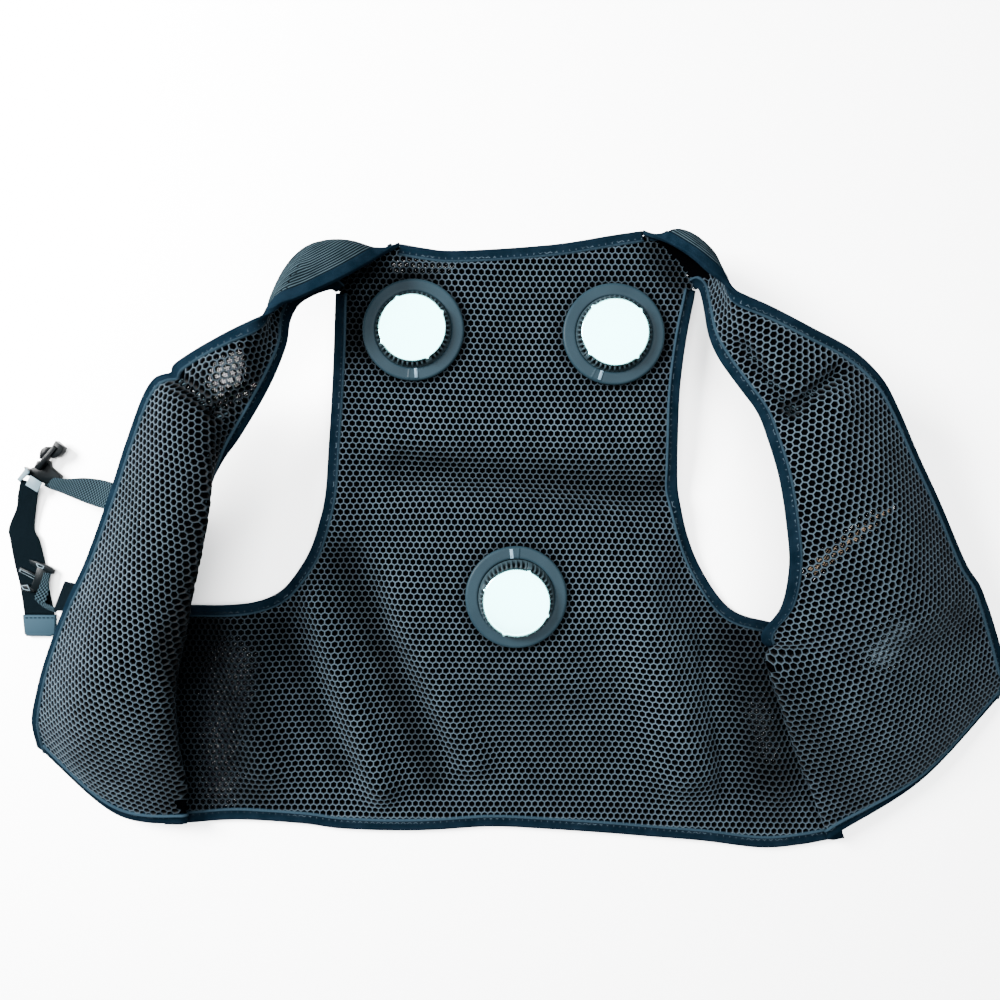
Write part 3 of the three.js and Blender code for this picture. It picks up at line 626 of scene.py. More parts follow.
def carried(grid: Array, closed_rows: bool = False, capped: bool = True) -> Shape:
    """Makes a surface of closed sections carried along a path.

    Face (i, j) joins points j and j + 1 of sections i and i + 1, and the last point of a section
    joins its first. Its UV is the length along the path and round the section, in centimetres.

    Args:
        grid: sections by points by three.
        closed_rows: whether the last section joins the first.
        capped: whether the first and last sections are closed by a flat face.

    Returns:
        The shape, with its faces pointing out.
    """
    rows, around = grid.shape[:2]
    i, j = pairs(np.arange(rows if closed_rows else rows - 1), np.arange(around))
    i, j = i.ravel(), j.ravel()
    steps = [(0, 0), (1, 0), (1, 1), (0, 1)]
    quads = np.stack([((i + a) % rows) * around + (j + b) % around for a, b in steps], axis=1)
    along = run_of(grid.mean(axis=1))
    if along[-1] < 1:
        along = run_of(grid[:, 0])
    along = np.append(along, along[-1] + 1)
    round_it = run_of(np.concatenate([grid[rows // 2], grid[rows // 2][:1]]))
    corner_uv = np.stack(
        [np.stack([along[i + a], round_it[j + b]], axis=1) / 10 for a, b in steps], axis=1
    )
    caps = []
    if capped and not closed_rows:
        caps = [np.arange(around), (rows - 1) * around + np.arange(around)[::-1]]
    return Shape(grid.reshape(-1, 3), quads, corner_uv, caps).outward()


def rounded_section(width: float, wall: float, count: int = 14, square: float = 0.5) -> Array:
    """Gives a flat rounded section as a superellipse.

    The distance across is half the width times 1 plus the signed power of the cosine, and the
    lift is half the wall times the signed power of the sine.

    Args:
        width: the section's width.
        wall: its thickness.
        count: how many points.
        square: the power, smaller for squarer corners.

    Returns:
        Rows of distance across and lift.
    """
    angle = 2 * np.pi * (np.arange(count) + 0.5) / count
    across = np.sign(np.cos(angle)) * np.abs(np.cos(angle)) ** square
    lift = np.sign(np.sin(angle)) * np.abs(np.sin(angle)) ** square
    return np.stack([width / 2 * (1 + across), wall / 2 * lift], axis=1)


def tape_section(count: int = 40) -> Array:
    """Gives the tape's section: flat, with a stitched groove and a raised fold near its inner edge.

    Both are bell curves of the distance across, added to the lift of the upper face.

    Args:
        count: how many points.

    Returns:
        Rows of distance across and lift.
    """
    section = rounded_section(TAPE_WIDTH, TAPE_WALL, count, 0.35)
    across, upper = section[:, 0], section[:, 1] > 0
    groove = -0.9 * bell(across - TAPE_RIDGE + 1.7, 0.55)
    fold = 0.7 * bell(across - TAPE_RIDGE, 0.9)
    section[:, 1] += np.where(upper, groove + fold, 0.0)
    return section


class Surface:
    """A cloth's middle surface as a table of points in rows and columns, with its normals."""

    def __init__(self, points: Array, facing: float = 1.0) -> None:
        """Keeps the table and works out normals as the cross product across by along.

        Args:
            points: rows by columns by three.
            facing: 1 or -1, so that the normals point from the vest's inner face.
        """
        self.points = points
        self.facing = facing
        across = np.gradient(points, axis=1)
        along = np.gradient(points, axis=0)
        normals = np.cross(across, along) * facing
        self.normals = normals / np.maximum(length_of(normals), 1e-9)
        self.rows, self.columns = points.shape[:2]

    def at(self, row: Array, column: Array, lift: Array | float = 0.0) -> Array:
        """Finds places by bilinear mixing in the table, moved along the mixed normal.

        Args:
            row: row values.
            column: column values.
            lift: how far off the surface.

        Returns:
            The places.
        """
        row = np.clip(row, 0, self.rows - 1)
        column = np.clip(column, 0, self.columns - 1)
        i, j, a, b = cell_of(self.points, row, column)

        def mixed(table: Array) -> Array:
            """Returns the table's bilinear mix."""
            upper = table[i, j] * (1 - b) + table[i, j + 1] * b
            lower = table[i + 1, j] * (1 - b) + table[i + 1, j + 1] * b
            return upper * (1 - a) + lower * a

        normal = mixed(self.normals)
        normal /= np.maximum(length_of(normal), 1e-9)
        return mixed(self.points) + normal * np.asarray(lift, float)[..., None]

    def band(self, outer: Array, inner: Array, section: Array, lift: float = 0.0) -> Shape:
        """Carries a flat section along a band between two lines of the table.

        Each section point lies at its share of the way from the outer to the inner line, and at
        its lift off the surface.

        Args:
            outer: rows of row and column value, along the outer edge.
            inner: the same along the inner edge.
            section: the section, whose distances across go from 0 to its width.
            lift: added to every lift.

        Returns:
            The band's shape.
        """
        share = np.clip(section[:, 0] / section[:, 0].max(), 0, 1)
        spots = outer[:, None] + (inner - outer)[:, None] * share[None, :, None]
        lifts = np.broadcast_to(section[:, 1] + lift, spots.shape[:2])
        return carried(self.at(spots[..., 0], spots[..., 1], lifts))

    def layer(self, mask: Array, stride: tuple[int, int], upper: float, lower: float) -> Shape:
        """Makes a closed layer of cloth from the table's cells.

        The upper and lower faces are the cells at two lifts, and a wall closes each border side.

        Args:
            mask: which cells, one for each stride of rows and columns.
            stride: how many table steps a cell takes.
            upper: the lift of the inner face.
            lower: the lift of the outer face.

        Returns:
            The layer, with slot 0 on its inner face and 1 on the rest.
        """
        rows, columns = mask.shape
        r, c = pairs(np.arange(rows + 1) * stride[0], np.arange(columns + 1) * stride[1])
        above = self.at(r.astype(float), c.astype(float), upper)
        below = self.at(r.astype(float), c.astype(float), lower)
        index = np.arange((rows + 1) * (columns + 1)).reshape(rows + 1, columns + 1)
        i, j = np.nonzero(mask)
        top = np.stack([index[i, j], index[i, j + 1], index[i + 1, j + 1], index[i + 1, j]], axis=1)
        quads = [top, (top + index.size)[:, ::-1]]
        ends = (((0, 1), (0, 0)), ((1, 0), (1, 1)), ((0, 0), (1, 0)), ((1, 1), (0, 1)))
        for neighbour, (first, second) in zip(neighbours(np.pad(mask, 1)), ends):
            i, j = np.nonzero(mask & ~neighbour)
            a = index[i + first[0], j + first[1]]
            b = index[i + second[0], j + second[1]]
            quads.append(np.stack([a, b, b + index.size, a + index.size], axis=1))
        faces = np.concatenate(quads)
        slots = np.concatenate([np.zeros(len(top), int), np.ones(len(faces) - len(top), int)])
        points = np.concatenate([above.reshape(-1, 3), below.reshape(-1, 3)])
        across, down = run_of(above[rows // 2]), run_of(above[:, columns // 2])
        grid = np.stack(pairs(down, across)[::-1], axis=-1).reshape(-1, 2) / 10
        flat = np.concatenate([grid, grid])
        used, faces = np.unique(faces, return_inverse=True)
        faces = faces.reshape(-1, 4)
        thin = np.clip(summed(points[used], THIN_PLACES), 0, 1)
        return Shape(points[used], faces, flat[used][faces], depth=thin, slots=slots).outward()


class Plan:
    """A surface laid flat: its table's nodes spread in the plane at their lengths in the cloth."""

    loose_spring = 0.06
    speed_kept = 0.92
    push_taken = 0.16
    smallest_cell = 0.12
    raster_step = 3
    raster_margin = 9
    unknown_error = 1e6

    def __init__(
        self,
        surface: Surface,
        stride: int,
        flat_start: bool,
        inner: Array | None = None,
        rounds: int = 900,
    ) -> None:
        """Develops the nodes row by row, then relaxes springs between neighbours.

        Args:
            surface: the surface.
            stride: how many table steps lie between nodes.
            flat_start: whether the nodes' own x and y are the first guess.
            inner: which table points are cloth, the rest being carried along loosely.
            rounds: how many relaxing steps.
        """
        self.stride = stride
        self.inner = (
            np.ones(surface.points.shape[:2], bool) if inner is None else inner
        )[::stride, ::stride]
        nodes = surface.points[::stride, ::stride]
        self.plan = nodes[..., :2].copy() if flat_start else self.developed(nodes)
        self.relax(nodes, rounds)
        self.make_raster()

    @staticmethod
    def developed(nodes: Array, spine_at: float = 0.3) -> Array:
        """Lays each row straight, at the angles that one column makes with the line down.

        The line down turns by the difference of its angles to one row and the next.

        Args:
            nodes: rows by columns by three.
            spine_at: where in a row that column is, as a share.

        Returns:
            The nodes in the plane.
        """
        middle = int(nodes.shape[1] * spine_at)
        spine = nodes[:, middle]
        across = nodes[:, middle + 1] - nodes[:, middle - 1]
        run = np.concatenate(
            [np.zeros((len(nodes), 1)), np.cumsum(length_of(np.diff(nodes, axis=1))[..., 0], axis=1)],
            axis=1,
        )
        run -= run[:, middle : middle + 1]
        flat = np.zeros(nodes.shape[:2] + (2,))
        spot, turn = np.zeros(2), 0.0
        for k in range(len(nodes)):
            flat[k] = spot + run[k][:, None] * direction(turn)
            if k + 1 == len(nodes):
                break
            step = spine[k + 1] - spine[k]
            size = np.linalg.norm(step)
            cosines = [step @ way / (size * np.linalg.norm(way)) for way in across[k : k + 2]]
            angles = np.arccos(np.clip(cosines, -1, 1))
            heading = turn - angles[0]
            spot = spot + size * direction(heading)
            turn = heading + angles[1]
        return flat

    def relax(self, nodes: Array, rounds: int) -> None:
        """Moves the nodes in the plane until neighbours are as far apart as in the cloth.

        Each spring moves both its ends by a share of its error, and each step keeps some of the
        last one.

        Args:
            nodes: the nodes' places in the cloth.
            rounds: how many steps.
        """
        families = []
        for first, second in (
            (np.s_[:, :-1], np.s_[:, 1:]),
            (np.s_[:-1], np.s_[1:]),
            (np.s_[:-1, :-1], np.s_[1:, 1:]),
            (np.s_[1:, :-1], np.s_[:-1, 1:]),
        ):
            stiff = np.where(self.inner[first] & self.inner[second], 1.0, self.loose_spring)[..., None]
            families.append((first, second, length_of(nodes[second] - nodes[first]), stiff))
        speed = np.zeros_like(self.plan)
        for _ in range(rounds):
            push = np.zeros_like(self.plan)
            for first, second, rest, stiff in families:
                gap = self.plan[second] - self.plan[first]
                move = 0.5 * stiff * gap * (1 - rest / np.maximum(length_of(gap), 1e-9))
                push[first] += move
                push[second] -= move
            speed = self.speed_kept * speed + self.push_taken * push
            self.plan = self.plan + speed
        self.untangle()

    def untangle(self) -> None:
        """Evens out the plan round any cell that lies the wrong way round.

        A node near such a cell takes the mean of its neighbours, until no cell is left so.
        """
        for _ in range(80):
            down = self.plan[1:, :-1] - self.plan[:-1, :-1]
            across = self.plan[:-1, 1:] - self.plan[:-1, :-1]
            area = down[..., 0] * across[..., 1] - down[..., 1] * across[..., 0]
            bad = area / np.median(area) < self.smallest_cell
            if not bad.any():
                return
            near = np.zeros(self.plan.shape[:2], bool)
            for i in (0, 1):
                for j in (0, 1):
                    near[i : i + bad.shape[0], j : j + bad.shape[1]] |= bad
            near |= np.any(neighbours(np.pad(near, 1)), axis=0)
            wide = np.pad(self.plan, ((1, 1), (1, 1), (0, 0)), mode="reflect", reflect_type="odd")
            mean = sum(neighbours(wide)) / 4
            self.plan[near] = 0.5 * self.plan[near] + 0.5 * mean[near]

    def make_raster(self) -> None:
        """Keeps a first guess of row and column for each small square of the plane."""
        rows, columns = self.plan.shape[:2]
        r, c = pairs(np.linspace(0, rows - 1, 5 * rows), np.linspace(0, columns - 1, 5 * columns))
        spots, _, _ = self.mixed(r, c)
        self.low = spots.reshape(-1, 2).min(axis=0) - self.raster_margin
        high = spots.reshape(-1, 2).max(axis=0) + self.raster_margin
        size = self.cells(high) + 1
        self.guess = np.full((size[0], size[1], 2), np.nan)
        cells = self.cells(spots)
        self.guess[cells[..., 0], cells[..., 1]] = np.stack([r, c], axis=-1)
        for _ in range(4):
            for axis in (0, 1):
                for step in (1, -1):
                    moved = np.roll(self.guess, step, axis=axis)
                    self.guess = np.where(np.isnan(self.guess), moved, self.guess)

    def cells(self, spots: Array) -> Array:
        """Returns the raster's squares in which spots lie."""
        return ((spots - self.low) / self.raster_step).astype(int)

    def mixed(self, r: Array, c: Array) -> tuple[Array, Array, Array]:
        """Mixes the plan bilinearly, also past its edges.

        Args:
            r: node rows.
            c: node columns.

        Returns:
            The spots in the plane, and how they change by row and by column.
        """
        i, j, a, b = cell_of(self.plan, r, c)
        p00, p01 = self.plan[i, j], self.plan[i, j + 1]
        p10, p11 = self.plan[i + 1, j], self.plan[i + 1, j + 1]
        spots = (p00 * (1 - b) + p01 * b) * (1 - a) + (p10 * (1 - b) + p11 * b) * a
        by_row = (p10 - p00) * (1 - b) + (p11 - p01) * b
        by_column = (p01 - p00) * (1 - a) + (p11 - p10) * a
        return spots, by_row, by_column

    def solve(self, spots: Array, r: Array, c: Array, rounds: int = 7) -> tuple[Array, Array, Array]:
        """Finds node rows and columns of spots in the plane by Newton's steps.

        Args:
            spots: the spots.
            r: first rows.
            c: first columns.
            rounds: how many steps.

        Returns:
            The rows, the columns and what error is left.
        """
        rows, columns = self.plan.shape[:2]
        for _ in range(rounds):
            found, by_row, by_column = self.mixed(r, c)
            miss = spots - found
            det = by_row[..., 0] * by_column[..., 1] - by_row[..., 1] * by_column[..., 0]
            det = np.where(np.abs(det) < 1e-6, 1e-6, det)
            r = r + (miss[..., 0] * by_column[..., 1] - miss[..., 1] * by_column[..., 0]) / det
            c = c + (by_row[..., 0] * miss[..., 1] - by_row[..., 1] * miss[..., 0]) / det
            r, c = np.clip(r, -0.6, rows - 0.4), np.clip(c, -0.6, columns - 0.4)
        error = np.linalg.norm(spots - self.mixed(r, c)[0], axis=-1)
        return r, c, error

    def locate(self, spots: Array) -> tuple[Array, Array, Array]:
        """Finds node rows and columns of spots, starting from the raster's guess.

        Args:
            spots: the spots in the plane.

        Returns:
            The rows, the columns and what error is left, which is large outside the plan.
        """
        cells = np.clip(self.cells(spots), 0, np.array(self.guess.shape[:2]) - 1)
        start = self.guess[cells[..., 0], cells[..., 1]]
        known = ~np.isnan(start[..., 0])
        start = np.where(known[..., None], start, 0.0)
        r, c, error = self.solve(spots, start[..., 0], start[..., 1])
        return r, c, np.where(known, error, self.unknown_error)


@dataclass(frozen=True)
class HexNet:
    """The net of a spacer mesh: six-sided holes in rows, with rounded strands and deep walls."""

    pitch: float = 6.1
    rim: float = 0.428
    well: float = 0.365
    top: float = 1.5
    shoulder: float = 1.15
    bottom: float = KNIT_TOP
    largest_miss: float = 0.3
    longest_spoke: float = 1.15
    joint: float = 0.05
    # Limits of the net's painted light and shade; then the painted shade round each cooler's flange
    shading_limits: tuple[float, float] = (0.12, 1.5)
    cooler_shade: float = 0.6
    shade_width: float = 7.0
    shade_start: float = -8.0

    def build(
        self,
        surface: Surface,
        plan: Plan,
        inside: Callable[[Array, Array], Array],
        aim_at: tuple[float, float],
        aim: Array | Spot,
    ) -> Shape:
        """Lays the lattice in the plane and carries each hole's three rings back to the cloth.

        Hole centres are whole steps of two pitch vectors at sixty degrees. A hole has a ring on
        the middle of its strands, one on its rim and one at the foot of its wall.

        Args:
            surface: the cloth's middle surface.
            plan: the surface laid flat.
            inside: tells from table rows and columns which holes are kept.
            aim_at: table row and column of the place where the lattice is aimed.
            aim: the direction in view x and y that a row of neighbours takes there.

        Returns:
            The net, with the depth of each point from 0 at the top to 1 at the foot, and its painted light
            and shade.
        """
        angle = self.lattice_angle(surface, plan, aim_at, aim)
        first, second = (self.pitch * direction(angle + turn) for turn in (0.0, np.pi / 3))
        low, high = plan.plan.min(axis=(0, 1)), plan.plan.max(axis=(0, 1))
        middle = (low + high) / 2
        reach = int(np.linalg.norm(high - low) / self.pitch) + 2
        a, b = pairs(np.arange(-reach, reach + 1), np.arange(-reach, reach + 1))
        centres = middle + a.reshape(-1, 1) * first + b.reshape(-1, 1) * second
        centres = centres[((centres > low) & (centres < high)).all(axis=1)]
        r, c, error = plan.locate(centres)
        keep = (error < self.largest_miss) & inside(r * plan.stride, c * plan.stride)
        centres, r, c = centres[keep], r[keep], c[keep]
        ways = direction(angle + np.pi / 6 + np.arange(6) * np.pi / 3)
        rings = []
        for radius in (1 / np.sqrt(3), self.rim / np.cos(np.pi / 6) * 0.97, self.well):
            spots = centres[:, None] + ways * (radius * self.pitch)
            start = (np.broadcast_to(values[:, None], spots.shape[:2]) for values in (r, c))
            rr, cc, _ = plan.solve(spots, *start, 4)
            rings.append((spots, rr * plan.stride, cc * plan.stride))
        hub = surface.at(r * plan.stride, c * plan.stride)[:, None]
        reach = length_of(surface.at(rings[0][1], rings[0][2]) - hub)[..., 0].max(axis=1)
        whole = reach < self.longest_spoke * self.pitch
        centres, r, c = centres[whole], r[whole], c[whole]
        rings = [
            (spots[whole].reshape(-1, 2), rows[whole].ravel(), columns[whole].ravel())
            for spots, rows, columns in rings
        ]
        keys = np.round(rings[0][0] / self.joint).astype(np.int64)
        _, pick, same = np.unique(keys, axis=0, return_index=True, return_inverse=True)
        same = same.reshape(-1)
        shared = tuple(values[pick] for values in rings[0])
        count = len(centres)
        own = len(pick) + np.arange(6 * count).reshape(count, 6)
        ids = [same.reshape(count, 6), own, own + 6 * count]
        places, depths, flats = [], [], []
        for (spots, rows, columns), lift, depth in zip(
            (shared, rings[1], rings[2]), (self.top, self.shoulder, self.bottom), (0.0, 0.25, 1.0)
        ):
            places.append(surface.at(rows, columns, lift))
            depths.append(np.full(len(rows), depth))
            flats.append(spots / 10)
        quads = []
        for upper, lower in zip(ids[:-1], ids[1:]):
            ring = [upper, np.roll(upper, -1, axis=1), np.roll(lower, -1, axis=1), lower]
            quads.append(np.stack(ring, axis=-1).reshape(-1, 4))
        quads = np.concatenate(quads)
        points = np.concatenate(places)
        flat = np.concatenate(flats)
        # Painted light and shade: the yarn is scaled lighter on ridges and darker in hollows and shadows
        tone = 1 + summed(points, PAINTED_LIGHT_AND_SHADE)
        # Painted shade on the net round each cooler's flange
        for cooler in COOLERS:
            away = cooler.away(points) - BackPanel.flange_radius
            shade = self.cooler_shade * bell(np.maximum(0, away), self.shade_width)
            tone -= shade * (away > self.shade_start)
        tone = np.clip(tone, *self.shading_limits)
        shape = Shape(points, quads, flat[quads], depth=np.concatenate(depths), tone=tone)
        sample = points[quads[: 6 * count]]
        normal = np.cross(sample[:, 2] - sample[:, 0], sample[:, 3] - sample[:, 1])
        rows, columns = (np.repeat(values, 6) * plan.stride for values in (r, c))
        facing = surface.at(rows, columns, 1.0) - surface.at(rows, columns)
        upward = float(np.einsum("ij,ij->", normal, facing))
        log.info("net of %d holes", count)
        return shape if upward > 0 else shape.flipped()

    @staticmethod
    def lattice_angle(
        surface: Surface, plan: Plan, aim_at: tuple[float, float], aim: Array | Spot
    ) -> float:
        """Turns a direction in the view into an angle in the plane, by small steps at one place.

        Args:
            surface: the surface.
            plan: the surface laid flat.
            aim_at: the place, as table row and column.
            aim: the direction in x and y.

        Returns:
            The angle in the plane.
        """
        rows = np.array([aim_at[0], aim_at[0] + 1, aim_at[0]])
        columns = np.array([aim_at[1], aim_at[1], aim_at[1] + 1])
        seen = surface.at(rows, columns)[:, :2]
        flat, _, _ = plan.mixed(rows / plan.stride, columns / plan.stride)
        steps = np.stack([seen[1] - seen[0], seen[2] - seen[0]], axis=1)
        shares = np.linalg.solve(steps, np.asarray(aim, float))
        way = (flat[1] - flat[0]) * shares[0] + (flat[2] - flat[0]) * shares[1]
        return float(np.arctan2(way[1], way[0]))


class Graph:
    """A material's node tree, with its surface shader."""

    def __init__(self, name: str) -> None:
        """Starts a material.

        Args:
            name: the material's name.
        """
        self.material = bpy.data.materials.new(name)
        self.material.use_nodes = True
        self.nodes = self.material.node_tree.nodes
        self.links = self.material.node_tree.links
        self.shader = self.nodes["Principled BSDF"]

    def add(
        self, kind: str, inputs: dict[str | int, object] | None = None, **settings: object
    ) -> bpy.types.Node:
        """Adds a node.

        Args:
            kind: the node's type.
            inputs: values or sockets for its inputs, by name or number.
            settings: its properties.

        Returns:
            The node.
        """
        node = self.nodes.new(kind)
        for key, value in settings.items():
            setattr(node, key, value)
        for key, value in (inputs or {}).items():
            self.put(node.inputs[key], value)
        return node

    def put(self, socket: bpy.types.NodeSocket, value: object) -> None:
        """Links a socket to an input, or sets the input's value.

        Args:
            socket: the input.
            value: the value, or the socket that gives it.
        """
        if isinstance(value, bpy.types.NodeSocket):
            self.links.new(value, socket)
        else:
            socket.default_value = value

    def set(self, **values: object) -> None:
        """Sets inputs of the surface shader, an underscore standing for a space."""
        for key, value in values.items():
            self.put(self.shader.inputs[key.replace("_", " ")], value)

    def ramp(self, factor: bpy.types.NodeSocket, stops: list[tuple[float, Spot]]) -> bpy.types.NodeSocket:
        """Adds a colour ramp.

        Args:
            factor: what it reads.
            stops: positions and colours.

        Returns:
            Its colour.
        """
        node = self.add("ShaderNodeValToRGB", {"Fac": factor})
        elements = node.color_ramp.elements
        while len(elements) < len(stops):
            elements.new(0.5)
        for element, (position, colour) in zip(elements, stops):
            element.position = position
            element.color = (*colour, 1)
        return node.outputs["Color"]

    def noise(self, vector: bpy.types.NodeSocket, scale: float, detail: float = 4.0) -> bpy.types.NodeSocket:
        """Adds a noise and returns its value."""
        node = self.add("ShaderNodeTexNoise", {"Vector": vector, "Scale": scale, "Detail": detail})
        return node.outputs["Fac"]

    def math(
        self, operation: str, first: object, second: object = 0.0, third: object = 0.5
    ) -> bpy.types.NodeSocket:
        """Adds a sum or other operation and returns its value."""
        node = self.add("ShaderNodeMath", {0: first, 1: second, 2: third}, operation=operation)
        return node.outputs[0]

    def attribute(self, name: str) -> bpy.types.NodeSocket:
        """Reads one of the mesh's own values."""
        return self.add("ShaderNodeAttribute", attribute_name=name).outputs["Fac"]

    def with_painted_shading(self, colour: bpy.types.NodeSocket) -> bpy.types.NodeSocket:
        """Returns the colour scaled by the mesh's painted light and shade."""
        inputs = {0: colour, "Scale": self.attribute("tone")}
        return self.add("ShaderNodeVectorMath", inputs, operation="SCALE").outputs["Vector"]

    def bump(self, height: bpy.types.NodeSocket, distance: float, strength: float = 1.0) -> None:
        """Bumps the surface.

        Args:
            height: what the bump reads.
            distance: its depth in metres.
            strength: its strength.
        """
        inputs = {"Height": height, "Distance": distance, "Strength": strength}
        node = self.add("ShaderNodeBump", inputs)
        self.put(self.shader.inputs["Normal"], node.outputs["Normal"])

    def coordinates(self, kind: str = "Object") -> bpy.types.NodeSocket:
        """Returns the piece's own coordinates of the given kind."""
        return self.add("ShaderNodeTexCoord").outputs[kind]

    def above_pores(self, stitch: bpy.types.NodeSocket) -> bpy.types.NodeSocket:
        """Returns 1 on the yarn and 0 in the pores, from the stitches' height, from -1 to 1."""
        level = self.math("MULTIPLY_ADD", self.attribute("depth"), PORE_LEVELS[1], PORE_LEVELS[0])
        return self.math("GREATER_THAN", stitch, level)

    def waves(
        self, vector: bpy.types.NodeSocket, along: float, across: float
    ) -> tuple[bpy.types.NodeSocket, ...]:
        """Gives the sines of both coordinates at two counts to a unit.

        Args:
            vector: the coordinates.
            along: cycles to a unit of the first.
            across: cycles to a unit of the second.

        Returns:
            The two sines.
        """
        parts = self.add("ShaderNodeSeparateXYZ", {"Vector": vector})
        sines = []
        for axis, count in (("X", along), ("Y", across)):
            turned = self.math("MULTIPLY", parts.outputs[axis], 2 * np.pi * count)
            sines.append(self.math("SINE", turned))
        return tuple(sines)


@dataclass(frozen=True)
class NetYarn:
    """The net's yarn: grey-blue on top of the strands, falling to black down the walls, where painted shade
    deepens the walls' dark yarn.
    """

    top: Spot = (0.0207, 0.0308, 0.0386)
    rim: Spot = (0.0045, 0.0067, 0.009)
    foot: Spot = (0.00006, 0.00008, 0.0001)
    patchy: float = 0.22

    def material(self) -> bpy.types.Material:
        """Returns the material."""
        graph = Graph("net_yarn")
        flat = graph.coordinates("UV")
        fuzz = graph.noise(flat, 9.0)
        patches = graph.noise(flat, 0.45, 2.0)
        uneven = graph.math("MULTIPLY_ADD", patches, self.patchy, -self.patchy / 2)
        shifted = graph.math("ADD", graph.attribute("depth"), uneven)
        # The rim and foot colours are painted shade down the holes' walls, over the yarn's own dark colour
        colour = graph.ramp(
            shifted, [(0.0, self.top), (0.28, self.rim), (0.6, self.foot), (1.0, self.foot)]
        )
        graph.set(Base_Color=graph.with_painted_shading(colour), Roughness=0.6, Specular_IOR_Level=0.02)
        graph.bump(fuzz, 0.0004, 0.6)
        return graph.material


@dataclass(frozen=True)
class DarkKnit:
    """The knit behind the net, seen down its holes: black with a fine open stitch, with painted shade in the
    stitches' hollows.
    """

    thread: Spot = (0.0006, 0.0007, 0.0009)
    hollow: Spot = (0.0001, 0.0001, 0.00015)

    def material(self) -> bpy.types.Material:
        """Returns the material."""
        graph = Graph("dark_knit")
        ribs, courses = graph.waves(graph.coordinates("UV"), *PORE_COUNTS)
        stitch = graph.math("MULTIPLY", ribs, courses)
        # Painted shade: the stitches' hollows are darker than their threads
        colour = graph.ramp(stitch, [(0.2, self.hollow), (0.8, self.thread)])
        cloth = graph.above_pores(stitch)
        graph.set(Base_Color=colour, Roughness=0.8, Specular_IOR_Level=0.0, Alpha=cloth)
        graph.bump(stitch, 0.0003, 0.6)
        return graph.material


@dataclass(frozen=True)
class RibbedKnit:
    """The outer face: fine ribs of grey-blue yarn, with painted shade darkening the valleys between them."""

    rib: Spot = (0.0118, 0.0188, 0.0226)
    valley: Spot = (0.0004, 0.001, 0.0014)

    def material(self) -> bpy.types.Material:
        """Returns the material."""
        graph = Graph("ribbed_knit")
        flat = graph.coordinates("UV")
        ribs, courses = graph.waves(flat, 4.2, 9.0)
        half = graph.math("MULTIPLY", courses, 0.3)
        height = graph.math("ADD", ribs, half)
        worn = graph.noise(flat, 0.8)
        tinted = graph.math("MULTIPLY", graph.math("ADD", height, 0.6), worn)
        # Painted shade: the colour follows the ribs' height, darker in their valleys
        colour = graph.ramp(tinted, [(0.0, self.valley), (0.75, self.rib)])
        across, down = graph.waves(flat, *PORE_COUNTS)
        cloth = graph.above_pores(graph.math("MULTIPLY", across, down))
        graph.set(Base_Color=colour, Roughness=0.7, Specular_IOR_Level=0.0, Alpha=cloth)
        graph.bump(height, 0.0005, 0.8)
        return graph.material


@dataclass(frozen=True)
class TapeCloth:
    """The binding tape: smooth dark blue cloth with a fine diagonal and a row of stitches, and a painted
    highlight along its raised fold.
    """

    cloth: Spot = (0.0009, 0.0026, 0.0046)
    worn: Spot = (0.0018, 0.0044, 0.0074)
    # The colour of the painted highlight along the raised fold
    ridge: Spot = (0.0072, 0.0138, 0.0195)

    def material(self) -> bpy.types.Material:
        """Returns the material."""
        graph = Graph("tape_cloth")
        flat = graph.coordinates("UV")
        turned = graph.add("ShaderNodeMapping", {"Vector": flat, "Rotation": (0, 0, 0.6)})
        twill, cross = graph.waves(turned.outputs["Vector"], 16.0, 10.0)
        patches = graph.noise(flat, 0.7)
        fuzz = graph.noise(flat, 30.0)
        plain = graph.ramp(patches, [(0.35, self.cloth), (0.7, self.worn)])
        # Painted highlight: the ridge colour covers the tape's inner edge and raised fold
        around = graph.add("ShaderNodeSeparateXYZ", {"Vector": flat}).outputs["Y"]
        ridge = graph.ramp(around, [(0.0, (1, 1, 1)), (0.2, (1, 1, 1)), (0.34, (0, 0, 0))])
        mix = graph.add(
            "ShaderNodeMix", {"Factor": ridge, "A": plain, "B": (*self.ridge, 1)}, data_type="RGBA"
        )
        thread = graph.math("ADD", graph.math("MULTIPLY", twill, cross), fuzz)
        graph.set(Base_Color=mix.outputs["Result"], Roughness=0.8, Specular_IOR_Level=0.0)
        graph.bump(thread, 0.00025, 0.7)
        return graph.material


@dataclass(frozen=True)
class MouldedPlastic:
    """A moulded plastic with a fine grain, which can take the piece's painted light and shade."""

    name: str
    colour: Spot
    worn: Spot
    roughness: float = 0.42
    with_painted_shading: bool = False

    def material(self) -> bpy.types.Material:
        """Returns the material."""
        graph = Graph(self.name)
        spots = graph.coordinates("Object")
        cloudy = graph.noise(spots, 26.0)
        grain = graph.noise(spots, 1800.0, 2.0)
        colour = graph.ramp(cloudy, [(0.35, self.colour), (0.7, self.worn)])
        if self.with_painted_shading:
            colour = graph.with_painted_shading(colour)
        graph.set(Base_Color=colour, Roughness=self.roughness, Specular_IOR_Level=0.03)
        graph.bump(grain, 0.00012, 0.5)
        return graph.material


@dataclass(frozen=True)
class PolishedMetal:
    """The cold plates: polished metal with faint rubbing marks."""

    colour: Spot = (0.27, 0.66, 0.66)
    shade: Spot = (0.25, 0.62, 0.62)

    def material(self) -> bpy.types.Material:
        """Returns the material."""
        graph = Graph("cold_plate_metal")
        spots = graph.coordinates("Object")
        cloudy = graph.noise(spots, 12.0)
        stretched = graph.add("ShaderNodeMapping", {"Vector": spots, "Scale": (1.0, 18.0, 1.0)})
        marks = graph.noise(stretched.outputs["Vector"], 220.0)
        colour = graph.ramp(cloudy, [(0.3, self.shade), (0.62, self.colour)])
        rough = graph.add("ShaderNodeMapRange", {"Value": marks, "To Min": 0.12, "To Max": 0.3})
        graph.set(Base_Color=colour, Metallic=1.0, Roughness=rough.outputs["Result"])
        graph.bump(marks, 0.00003, 0.4)
        return graph.material


